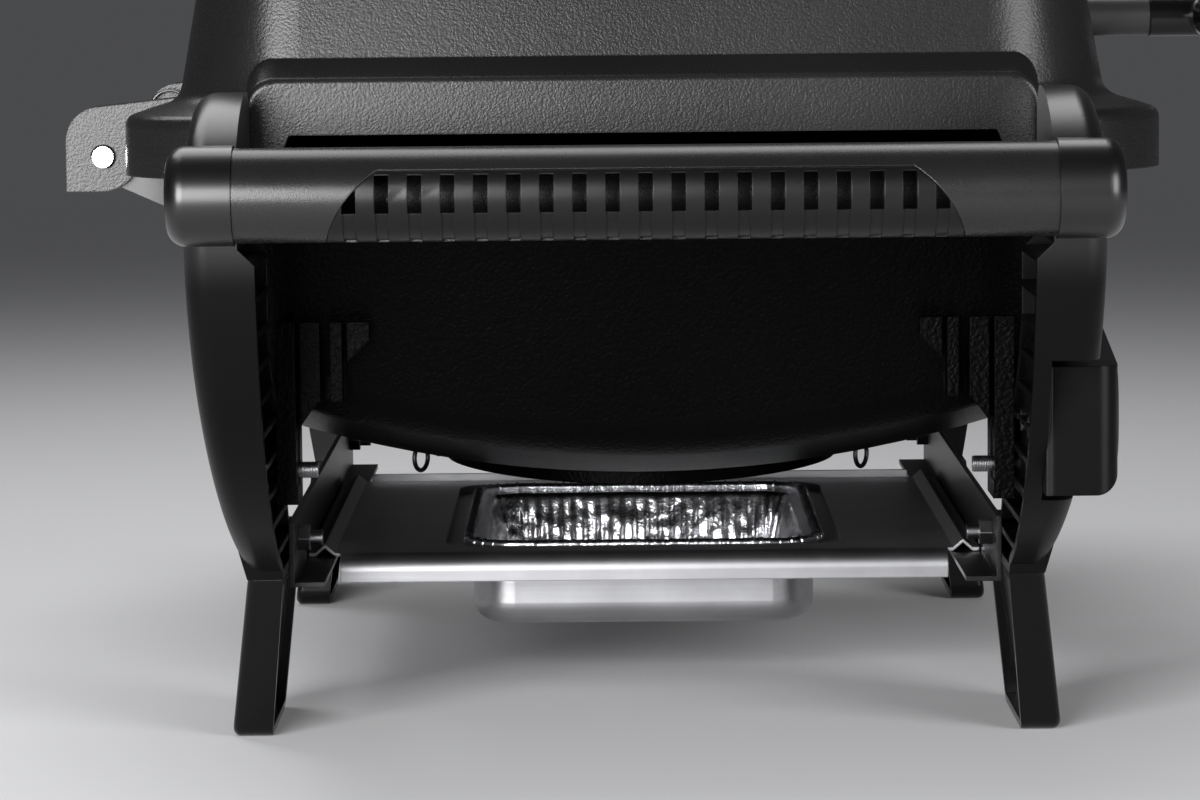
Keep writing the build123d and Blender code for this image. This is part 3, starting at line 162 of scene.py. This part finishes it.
def moulding(name, tone, roughness, spark_depth, shine):
    """Moulded plastic with a spark-eroded texture, faint flow marks and handling scuffs."""
    material, shade, surface = finish_of(name, {"IOR": 1.5, "Specular IOR Level": shine})
    place = place_in(shade)
    spark = grain(shade, place, 1900, 2.0, 0.6)
    flow = grain(shade, drawn_out(shade, place, (9.0, 9.0, 30.0)), 2.0, 4.0, 0.6)
    rub = grain(shade, drawn_out(shade, place, (60, 300, 60)), 3.0, 5.0, 0.7)
    scuff = band(shade, rub, 0.6, 0.78)
    colour = blend_colour(shade, flow, grey(0.8 * tone), grey(1.2 * tone))
    colour = blend_colour(shade, scuff * 0.35, colour, grey(1.9 * tone))
    rough = roughness + (flow - 0.5) * 0.12 + (spark - 0.5) * 0.1 + scuff * 0.07
    normal = relief(shade, spark, spark_depth, 0.35)
    feed(shade, surface, Base_Color=colour, Roughness=rough, Normal=normal)
    return material


corners = ("front_left", "rear_left", "front_right", "rear_right")
foot_nylon = moulding("foot_nylon", 0.0015, 0.2, 0.00005, 0.25)
dress(foot_nylon, *[corner + "_foot" for corner in corners])


# Legs
# Four glass-filled nylon legs with the knuckles of the carry handles, dark grey satin outside.
# Inside they are open and ribbed; bolts through their bosses hold the cookbox and the rails.
def rubbed(material, axis, low, high):
    """Adds a polish where hands and parts rub, rising from low to high along an axis."""
    shade = Shade(material.node_tree)
    surface = material.node_tree.nodes["Principled BSDF"]
    surface.inputs["Coat Roughness"].default_value = 0.3
    apart = shade.node("ShaderNodeSeparateXYZ", {}, {"Vector": place_in(shade)}, output=axis)
    feed(shade, surface, Coat_Weight=band(shade, apart, low, high))


leg_nylon = moulding("leg_nylon", 0.002, 0.34, 0.0001, 0.1)
knuckle_low = 0.185
knuckle_full = 0.21
rubbed(leg_nylon, "Z", knuckle_low, knuckle_full)
dress(leg_nylon, *[corner + "_leg" for corner in corners])


# Rails
# Two bent steel angles, powder-coated black, bolted between the legs at the front and the rear.
# Their shelves carry the catch pan, which slides along them.
def black_paint(name, tone, roughness, grain_size, depth, shine):
    """Textured paint: a leathery grain over slow changes of tone, duller where it is thin."""
    material, shade, surface = finish_of(name, {"IOR": 1.52, "Specular IOR Level": shine})
    place = place_in(shade)
    wander = shade.node("ShaderNodeTexNoise", {}, {"Vector": place, "Scale": 90.0}, output=1)
    bend = 0.006
    warped = shade.node(
        "ShaderNodeMix", {"data_type": "VECTOR"}, {0: bend, 4: place, 5: wander}, output=1
    )
    leather = shade.node(
        "ShaderNodeTexVoronoi",
        {"feature": "SMOOTH_F1"},
        {"Vector": warped, "Scale": 1 / grain_size, "Smoothness": 0.8},
    )
    fine = grain(shade, place, 2.2 / grain_size, 3.0, 0.6)
    cloud = grain(shade, place, 7.0, 4.0)
    patch = band(shade, cloud, 0.3, 0.72)
    hollow = band(shade, leather, 0.25, 0.75)
    colour = blend_colour(shade, patch, grey(0.85 * tone), grey(1.2 * tone))
    colour = blend_colour(shade, hollow * 0.3, colour, grey(0.6 * tone))
    rough = roughness + (cloud - 0.5) * 0.1 + (fine - 0.5) * 0.14
    normal = relief(shade, 1 - leather + fine * 0.6, depth, 0.5)
    feed(shade, surface, Base_Color=colour, Roughness=rough, Normal=normal)
    return material


rail_paint = black_paint("rail_paint", 0.004, 0.36, 0.0012, 0.0001, 0.3)
dress(rail_paint, "front_rail", "rear_rail")


# Bolts and nuts
# Zinc-plated bolts through the legs, with their threaded tails showing inside the frame.
# The turns of thread are rings set close together on each tail.
def metal(name, tone, roughness, brush, brush_depth):
    """Bare metal, brushed along the axis with the small brush value, with stains and fine marks."""
    material, shade, surface = finish_of(name, {"Metallic": 1.0})
    place = place_in(shade)
    lines = grain(shade, drawn_out(shade, place, brush), 1.0, 3.0, 0.7)
    stain = grain(shade, place, 26.0, 5.0, 0.65)
    clean = band(shade, stain, 0.35, 0.7)
    scratch = band(shade, lines, 0.3, 0.8)
    colour = blend_colour(shade, clean, grey(0.86 * tone), grey(tone))
    colour = blend_colour(shade, scratch * 0.35, colour, grey(0.72 * tone))
    rough = roughness + (lines - 0.5) * 0.16 + (stain - 0.5) * 0.12
    normal = relief(shade, lines, brush_depth, 0.25)
    feed(shade, surface, Base_Color=colour, Roughness=rough, Normal=normal)
    return material


zinc = metal("zinc_plate", 0.26, 0.32, (600, 600, 600), 0.00004)
dress(zinc, "frame_bolts", "rail_bolts", "rail_nuts", "control_screws")


def add_object(name, data):
    """Object for a mesh, a light or a camera, linked to the scene."""
    piece = bpy.data.objects.new(name, data)
    bpy.context.scene.collection.objects.link(piece)
    return piece


def settled(source):
    """Plain mesh of an object with its modifiers applied; the object itself goes."""
    view = bpy.context.evaluated_depsgraph_get()
    mesh = bpy.data.meshes.new_from_object(source.evaluated_get(view))
    bpy.data.objects.remove(source)
    for polygon in mesh.polygons:
        polygon.use_smooth = True
    return mesh


def ring_tree(name, material):
    """Geometry Nodes tree that sets a ring of wire on each point, its axis along Y."""
    tree = bpy.data.node_groups.new(name, "GeometryNodeTree")
    face = tree.interface
    face.new_socket("Geometry", in_out="INPUT", socket_type="NodeSocketGeometry")
    face.new_socket("Ring radius", in_out="INPUT", socket_type="NodeSocketFloat")
    face.new_socket("Wire radius", in_out="INPUT", socket_type="NodeSocketFloat")
    face.new_socket("Geometry", in_out="OUTPUT", socket_type="NodeSocketGeometry")
    put = tree.nodes.new
    start = put("NodeGroupInput")
    end = put("NodeGroupOutput")
    ring = put("GeometryNodeCurvePrimitiveCircle")
    ring.inputs["Resolution"].default_value = 20
    wire = put("GeometryNodeCurvePrimitiveCircle")
    wire.inputs["Resolution"].default_value = 6
    sweep = put("GeometryNodeCurveToMesh")
    spread = put("GeometryNodeInstanceOnPoints")
    spread.inputs["Rotation"].default_value = (math.pi / 2, 0, 0)
    real = put("GeometryNodeRealizeInstances")
    paint = put("GeometryNodeSetMaterial")
    paint.inputs["Material"].default_value = material
    link = tree.links.new
    link(start.outputs["Ring radius"], ring.inputs["Radius"])
    link(start.outputs["Wire radius"], wire.inputs["Radius"])
    link(ring.outputs["Curve"], sweep.inputs["Curve"])
    link(wire.outputs["Curve"], sweep.inputs["Profile Curve"])
    link(start.outputs["Geometry"], spread.inputs["Points"])
    link(sweep.outputs["Mesh"], spread.inputs["Instance"])
    link(spread.outputs["Instances"], real.inputs["Geometry"])
    link(real.outputs["Geometry"], paint.inputs["Geometry"])
    link(paint.outputs["Geometry"], end.inputs["Geometry"])
    return tree


def grown(name, points, tree, values):
    """Plain mesh object that a tree grows from points, with its inputs set by their names."""
    seeds = bpy.data.meshes.new(name + "_points")
    links = [(index, (index + 1) % len(points)) for index in range(len(points))]
    seeds.from_pydata(points, links, [])
    source = add_object(name + "_source", seeds)
    modifier = source.modifiers.new(name, "NODES")
    modifier.node_group = tree
    for item in tree.interface.items_tree:
        if item.name in values:
            modifier[item.identifier] = values[item.name]
    mesh = settled(source)
    mesh.name = name
    return add_object(name, mesh)


thread_pitch = 0.001
bolt_radius = 0.003
bolt_head_radius = 0.006
bolt_low, bolt_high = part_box("frame_bolts")
ear_bolt_x = bolt_high[0] - bolt_head_radius
ear_bolt_z = (bolt_low[2] + bolt_high[2]) / 2
mid_y = (bolt_low[1] + bolt_high[1]) / 2
tail_tip = 0.126
tail_root = 0.1325
turns = int((tail_root - tail_tip) / thread_pitch)
thread_points = []
for side in (-1, 1):
    for x in (-ear_bolt_x, ear_bolt_x):
        for turn in range(turns):
            reach = tail_root - (turn + 0.5) * thread_pitch
            thread_points.append((x, mid_y + side * reach, ear_bolt_z))
threads = grown(
    "bolt_threads",
    thread_points,
    ring_tree("thread_turns", zinc),
    {"Ring radius": bolt_radius, "Wire radius": 0.32 * thread_pitch},
)
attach(threads, "stand")

# Cookbox
# A cast aluminium bowl with stepped ears, a drain collar and two hinge arms, in black paint with
# a coarse grain; bolts hold its ears to the legs, and two wire loops hang on the collar.
cookbox_paint = black_paint("cookbox_paint", 0.001, 0.33, 0.0016, 0.0006, 0.03)
arm_root_y = 0.19
arm_full_y = 0.215
rubbed(cookbox_paint, "Y", arm_root_y, arm_full_y)
dress(cookbox_paint, "cookbox")
loop_wire = metal("loop_wire", 0.06, 0.4, (500, 500, 500), 0.00003)
dress(loop_wire, "collar_loops")

# Heating element
# One steel tube bent to rows over the bowl, dark from heat, lying on two strips of sheet.
# Its ends leave through the wall in ceramic sleeves and meet a ceramic terminal block.
heat_steel = metal("element_steel", 0.16, 0.5, (300, 300, 300), 0.00006)
dress(heat_steel, "heating_element", "element_brackets")
ceramic, shade, surface = finish_of("sleeve_ceramic", {"IOR": 1.55})
place = place_in(shade)
speck = band(shade, grain(shade, place, 700, 3.0), 0.6, 0.72)
cloud = grain(shade, place, 60, 3.0)
colour = blend_colour(shade, cloud, (0.62, 0.58, 0.5, 1), (0.74, 0.7, 0.63, 1))
colour = blend_colour(shade, speck * 0.5, colour, (0.3, 0.26, 0.22, 1))
feed(shade, surface, Base_Color=colour, Roughness=0.45 + (cloud - 0.5) * 0.2)
feed(shade, surface, Normal=relief(shade, cloud + speck, 0.0001, 0.3))
dress(ceramic, "terminal_sleeves", "terminal_block")

# Grates
# Two cast iron grates side by side, in black vitreous enamel with small pits.
# They lie loose on the ledges of the bowl.
enamel, shade, surface = finish_of("grate_enamel", {"IOR": 1.6})
place = place_in(shade)
flow = grain(shade, place, 120, 4.0, 0.6)
pit = band(shade, grain(shade, place, 900, 2.0), 0.62, 0.74)
feed(shade, surface, Base_Color=blend_colour(shade, flow, grey(0.012), grey(0.022)))
feed(shade, surface, Roughness=0.28 + (flow - 0.5) * 0.25 + pit * 0.15)
feed(shade, surface, Normal=relief(shade, flow - pit * 0.4, 0.0006, 0.4))
dress(enamel, "grate_left", "grate_right")

# Carry handles
# Two satin nylon tubes held between the knuckles of the legs, one at each end of the grill.
# A slotted black insert is let into the outer lower face of each.
bar_nylon = moulding("bar_nylon", 0.008, 0.28, 0.0001, 0.5)
dress(bar_nylon, "left_handle_bar", "right_handle_bar")
insert_nylon = moulding("insert_nylon", 0.003, 0.3, 0.00008, 0.3)
dress(insert_nylon, "left_grip_insert", "right_grip_insert")

# Lid
# A cast aluminium dome with a brim, notched end panels and hinge lugs, painted charcoal.
# The paint has a leathery orange-peel grain that catches the light on the shoulders.
lid_paint = black_paint("lid_paint", 0.011, 0.28, 0.001, 0.00012, 0.38)
dress(lid_paint, "lid")

# Hinge
# Two polished, headed steel pins that turn with the lid in the arms of the cookbox.
# Each is held in its lugs by a ring of dark spring wire.
polish = metal("polished_steel", 0.8, 0.12, (250, 250, 250), 0.00002)
dress(polish, "hinge_pins")
spring_wire = metal("spring_wire", 0.12, 0.35, (500, 500, 500), 0.00003)
dress(spring_wire, "hinge_pin_clips")

# Lid handle
# A bright oval steel tube, brushed along its length and closed by dark caps, on two black arms.
# Grey spacers hold the arms off the hot lid, and screws from inside hold it all.
grip_steel = metal("grip_steel", 0.74, 0.2, (14, 900, 900), 0.00003)
dress(grip_steel, "lid_handle_grip", "lid_handle_screws", "knob_shaft")
spacer_nylon = moulding("spacer_nylon", 0.04, 0.38, 0.0001, 0.4)
dress(spacer_nylon, "lid_handle_spacers")
handle_nylon = moulding("handle_nylon", 0.004, 0.24, 0.00005, 0.4)
dress(handle_nylon, "lid_handle_arms", "lid_handle_end_caps")

# Catch pan
# A drawn sheet-steel pan on the rails, with a basin in the middle and a rolled lip to pull.
# The sheet is brushed across, and drips and heat have stained it unevenly.
pan_steel = metal("pan_steel", 0.37, 0.4, (700, 9, 700), 0.00005)
dress(pan_steel, "catch_pan")

# Foil tray
# A disposable drip tray of pressed aluminium foil: fluted walls, a creased floor and a rim
# that is rolled over and crimped. It lies loose in the basin of the pan.
foil, shade, surface = finish_of("foil", {"Metallic": 1.0})
place = place_in(shade)
crease = grain(shade, place, 170, 4.0, 0.6)
rolled = grain(shade, drawn_out(shade, place, (40, 900, 900)), 1.0, 2.0)
feed(shade, surface, Base_Color=blend_colour(shade, crease, grey(0.84), grey(0.95)))
feed(shade, surface, Roughness=0.21 + (crease - 0.5) * 0.2 + (rolled - 0.5) * 0.08)
feed(shade, surface, Normal=relief(shade, crease + rolled * 0.25, 0.0009, 0.42))

tray_low, tray_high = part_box("foil_tray")
tray_x = (tray_low[0] + tray_high[0]) / 2
tray_y = (tray_low[1] + tray_high[1]) / 2
rim_width = 0.008
half_x = tray_high[0] - tray_x - rim_width
half_y = tray_high[1] - tray_y - rim_width
tray_corner = 0.015
rim_sheet = 0.0008
ledge = tray_high[2] - rim_sheet
floor_lift = 0.0004
tray_floor = tray_low[2] + floor_lift
wall_height = ledge - tray_floor
wall_lean = math.tan(math.radians(14))
around = 640


def outline(half_x, half_y, radius, count):
    """Points, outward directions and a corner flag, evenly spaced round a soft rectangle."""
    flat_x = half_x - radius
    flat_y = half_y - radius
    runs = []
    for number, length in enumerate((2 * flat_y, 2 * flat_x, 2 * flat_y, 2 * flat_x)):
        runs.append((number, length, False))
        runs.append((number, math.pi / 2 * radius, True))
    total = sum(length for number, length, bent in runs)
    result = []
    for index in range(count):
        along = total * index / count
        for number, length, bent in runs:
            if along <= length:
                break
            along -= length
        first = number * math.pi / 2
        angle = first + (along / radius if bent else 0)
        out = Vector((math.cos(angle), math.sin(angle), 0))
        base = Vector((math.cos(first), math.sin(first), 0))
        side = Vector((-base.y, base.x, 0))
        long_way = flat_x if number % 2 == 0 else flat_y
        half_run = flat_y if number % 2 == 0 else flat_x
        centre = base * long_way + side * half_run
        slide = Vector((0, 0, 0)) if bent else side * (along - 2 * half_run)
        result.append((centre + slide + out * radius, out, bent))
    return result


bead = 0.0021
bead_z = 0.0023
bead_steps = 14
rim_steps = 5
rim_z = 0.0004
rim_looseness = 0.1
profile = []
for step in range(bead_steps):
    angle = math.radians(-110 + 25 * step)
    bead_out = rim_width - bead + bead * math.cos(angle)
    profile.append((bead_out, bead_z + bead * math.sin(angle), rim_looseness))
for step in range(rim_steps):
    profile.append(((rim_width - 2 * bead) * (1 - step / rim_steps), rim_z, rim_looseness))
wall_steps = 22
for step in range(1, wall_steps + 1):
    down = wall_height * step / wall_steps
    profile.append((-down * wall_lean, -down, min(1.0, 0.25 + 2.0 * step / wall_steps)))

loop = outline(half_x, half_y, tray_corner, around)
flutes = 112
flute_depth = 0.0005
corner_gather = 1.8
dent_depth = 0.0009
rim_ripple = 0.0002
verts = []
for offset, height, loose in profile:
    for index, (spot, out, bent) in enumerate(loop):
        turn = flutes * 2 * math.pi * index / around
        flute = math.sin(turn + 2.6 * noise.noise(spot * 45))
        where = Vector((spot.x * 60, spot.y * 60, height * 75))
        swell = 0.55 + 0.9 * abs(noise.noise(where * 0.5))
        dent = 0.9 * noise.noise(where) + 0.45 * noise.noise(where * 3.1)
        gather = corner_gather if bent else 1.0
        push = loose * (flute_depth * flute * swell * gather + dent_depth * (dent - 1))
        ripple = (1 - loose) * rim_ripple * dent
        reach = min(offset + push, rim_width)
        middle = Vector((tray_x, tray_y, ledge + height + ripple))
        verts.append(middle + spot + out * reach)
floor_rings = 26
foot_inset = wall_height * wall_lean
ridge_pitch_x = 0.018
ridge_pitch_y = 0.026
ridge_height = 0.0011
crumple_height = 0.0012
for ring in range(1, floor_rings + 1):
    inward = 1 - ring / (floor_rings + 1)
    for spot, out, bent in loop:
        flat = (spot - out * foot_inset) * inward
        across = max(0.0, math.sin(flat.x * 2 * math.pi / ridge_pitch_x))
        along = max(0.0, math.sin(flat.y * 2 * math.pi / ridge_pitch_y))
        crumple = abs(noise.noise(flat * 70)) + 0.4 * abs(noise.noise(flat * 210))
        rise = min(1.0, ring / 3)
        lift = (ridge_height * across * along + crumple_height * crumple) * rise
        verts.append(Vector((tray_x, tray_y, tray_floor + lift)) + flat)
rings = len(profile) + floor_rings
faces = []
for ring in range(rings - 1):
    for index in range(around):
        after = (index + 1) % around
        row = ring * around
        faces.append((row + index, row + after, row + around + after, row + around + index))
faces.append(tuple((rings - 1) * around + index for index in range(around)))
sheet_mesh = bpy.data.meshes.new("foil_sheet")
sheet_mesh.from_pydata(verts, [], faces)
sheet_mesh.materials.append(foil)
source = add_object("foil_sheet", sheet_mesh)
gauge = source.modifiers.new("gauge", "SOLIDIFY")
gauge.thickness = 0.0002
gauge.offset = -1
tray = add_object("foil_drip_tray", settled(source))
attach(tray, "pan_body")
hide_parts("foil_tray")


def crimp_tree(name, material):
    """Geometry Nodes tree that presses small ridges across a rim, evenly along its line."""
    tree = bpy.data.node_groups.new(name, "GeometryNodeTree")
    face = tree.interface
    face.new_socket("Geometry", in_out="INPUT", socket_type="NodeSocketGeometry")
    face.new_socket("Ridge", in_out="INPUT", socket_type="NodeSocketVector")
    face.new_socket("Seed", in_out="INPUT", socket_type="NodeSocketInt")
    face.new_socket("Geometry", in_out="OUTPUT", socket_type="NodeSocketGeometry")
    put = tree.nodes.new
    start = put("NodeGroupInput")
    end = put("NodeGroupOutput")
    line = put("GeometryNodeMeshToCurve")
    tangent = put("GeometryNodeInputTangent")
    keep = put("GeometryNodeCaptureAttribute")
    keep.capture_items.new("VECTOR", "Tangent")
    aim = put("FunctionNodeAlignRotationToVector")
    aim.axis = "X"
    aim.pivot_axis = "Z"
    ball = put("GeometryNodeMeshUVSphere")
    ball.inputs["Segments"].default_value = 10
    ball.inputs["Rings"].default_value = 6
    ball.inputs["Radius"].default_value = 1.0
    shape = put("GeometryNodeTransform")
    points = put("GeometryNodeCurveToPoints")
    points.mode = "EVALUATED"
    spread = put("GeometryNodeInstanceOnPoints")
    uneven = put("FunctionNodeRandomValue")
    uneven.data_type = "FLOAT"
    smallest, largest = uneven.inputs[2], uneven.inputs[3]
    smallest.default_value = 0.82
    largest.default_value = 1.0
    real = put("GeometryNodeRealizeInstances")
    paint = put("GeometryNodeSetMaterial")
    paint.inputs["Material"].default_value = material
    link = tree.links.new
    link(start.outputs["Geometry"], line.inputs["Mesh"])
    link(line.outputs["Curve"], keep.inputs["Geometry"])
    link(tangent.outputs["Tangent"], keep.inputs["Tangent"])
    link(keep.outputs["Geometry"], points.inputs["Curve"])
    link(points.outputs["Points"], spread.inputs["Points"])
    link(keep.outputs["Tangent"], aim.inputs["Vector"])
    link(aim.outputs["Rotation"], spread.inputs["Rotation"])
    link(ball.outputs["Mesh"], shape.inputs["Geometry"])
    link(start.outputs["Ridge"], shape.inputs["Scale"])
    link(shape.outputs["Geometry"], spread.inputs["Instance"])
    link(start.outputs["Seed"], uneven.inputs["Seed"])
    link(uneven.outputs[1], spread.inputs["Scale"])
    link(spread.outputs["Instances"], real.inputs["Geometry"])
    link(real.outputs["Geometry"], paint.inputs["Geometry"])
    link(paint.outputs["Geometry"], end.inputs["Geometry"])
    return tree


crimp_count = 190
bead_centre = Vector((tray_x, tray_y, ledge + bead_z))
crimp_line = []
for spot, out, bent in outline(half_x, half_y, tray_corner, crimp_count):
    crimp_line.append(bead_centre + spot + out * (rim_width - bead))
crimps = grown(
    "rim_crimps",
    crimp_line,
    crimp_tree("crimp_ridges", foil),
    {"Ridge": (0.0011, 1.32 * bead, 1.36 * bead), "Seed": 4},
)
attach(crimps, "pan_body")

# Control box
# A nylon housing and its back cover at the front left, screwed together, with a black knob
# on a steel shaft, a thermostat behind it, a red lamp lens and a rubber gland for the cord.
dress(moulding("housing_nylon", 0.002, 0.3, 0.0001, 0.12), "control_housing")
dress(moulding("cover_nylon", 0.004, 0.4, 0.0001, 0.25), "control_back_cover")
dress(moulding("knob_nylon", 0.005, 0.28, 0.00006, 0.4), "control_knob")
dress(metal("thermostat_steel", 0.55, 0.34, (400, 400, 30), 0.00005), "thermostat")
dress(moulding("gland_rubber", 0.009, 0.7, 0.0002, 0.3), "cord_gland")
clear_red = {"IOR": 1.49, "Coat Weight": 0.6, "Coat Roughness": 0.05}
lens, shade, surface = finish_of("lens_red", clear_red)
place = place_in(shade)
facet = grain(shade, place, 420, 1.0)
deep_red = (0.22, 0.006, 0.005, 1)
light_red = (0.5, 0.03, 0.02, 1)
feed(shade, surface, Base_Color=blend_colour(shade, facet, deep_red, light_red))
feed(shade, surface, Roughness=0.1 + facet * 0.12)
feed(shade, surface, Normal=relief(shade, facet, 0.0003, 0.3))
dress(lens, "indicator_lens")

# Floor and light
# A pale matt floor, darker beneath the lamps by the camera with painted shade that hides their pool
# of light, that fades out to a darker backdrop.
# It is lit by a soft box above and behind, one at the left of the camera and a weaker one at its
# right.
floor_mesh = bpy.data.meshes.new("floor")
shape = bmesh.new()
bmesh.ops.create_circle(shape, cap_ends=True, radius=6.0, segments=96)
shape.to_mesh(floor_mesh)
shape.free()
floor = add_object("floor", floor_mesh)
floor_finish, shade, surface = finish_of("floor_finish", {"Roughness": 0.85})
place = place_in(shade)
lengthwise = shade.node("ShaderNodeSeparateXYZ", {}, {"Vector": place}, output="X")
# Painted shade: the floor's colour goes dark towards the camera, under the front lamps, to cancel
# the pool of light they throw there.
clear_of_painted_shade = band(shade, lengthwise, -1.7, -0.5)
pale = (0.84, 0.84, 0.855, 1)
feed(shade, surface, Base_Color=blend_colour(shade, clear_of_painted_shade, grey(0.05), pale))
near_camera = (-0.9, 0, 0)
distance = shade.node(
    "ShaderNodeVectorMath", {"operation": "DISTANCE"}, {0: place, 1: near_camera}, output=1
)
feed(shade, surface, Alpha=1 - band(shade, distance, 0.6, 5.0))
floor_mesh.materials.append(floor_finish)

world = bpy.data.worlds.new("studio")
bpy.context.scene.world = world
world.use_nodes = True
shade = Shade(world.node_tree)
seen = shade.node("ShaderNodeLightPath", {}, {})
fill = (0.05, 0.05, 0.052, 1)
behind = (0.068, 0.069, 0.073, 1)
backdrop = blend_colour(shade, seen, fill, behind)
shade.tree.links.new(backdrop.socket, shade.tree.nodes["Background"].inputs["Color"])


def lamp(name, place, size, power):
    """Soft box at a place, turned to the middle of the grill."""
    light = bpy.data.lights.new(name, "AREA")
    light.shape = "RECTANGLE"
    light.size, light.size_y = size
    light.energy = power
    box = add_object(name, light)
    box.location = place
    toward = Vector((0, 0, 0.2)) - Vector(place)
    box.rotation_euler = toward.to_track_quat("-Z", "Y").to_euler()


lamp("overhead", (0.7, 0.3, 1.6), (1.6, 1.2), 18)
lamp("left_of_camera", (-1.9, 0.75, 0.42), (1.05, 0.84), 54)
lamp("right_of_camera", (-1.6, -1.3, 0.5), (1.0, 1.0), 26)

# Camera
# A long lens at the left end of the grill, a little above it and turned slightly down.
focal_px = 4680
frame_px = 1200
camera_data = bpy.data.cameras.new("camera")
camera_data.sensor_width = 36
camera_data.lens = camera_data.sensor_width * focal_px / frame_px
camera_data.clip_end = 100
camera = add_object("camera", camera_data)
bpy.context.scene.camera = camera
camera.location = (-2.053, 0.0265, 0.307)
pitch = math.radians(5.45)
yaw = math.radians(0.15)
roll = math.radians(0.55)
level = math.cos(pitch)
ahead = Vector((level * math.cos(yaw), level * math.sin(yaw), -math.sin(pitch)))
camera.rotation_mode = "QUATERNION"
camera.rotation_quaternion = ahead.to_track_quat("-Z", "Y") @ Quaternion((0, 0, 1), -roll)

bpy.context.scene.view_settings.view_transform = "Standard"
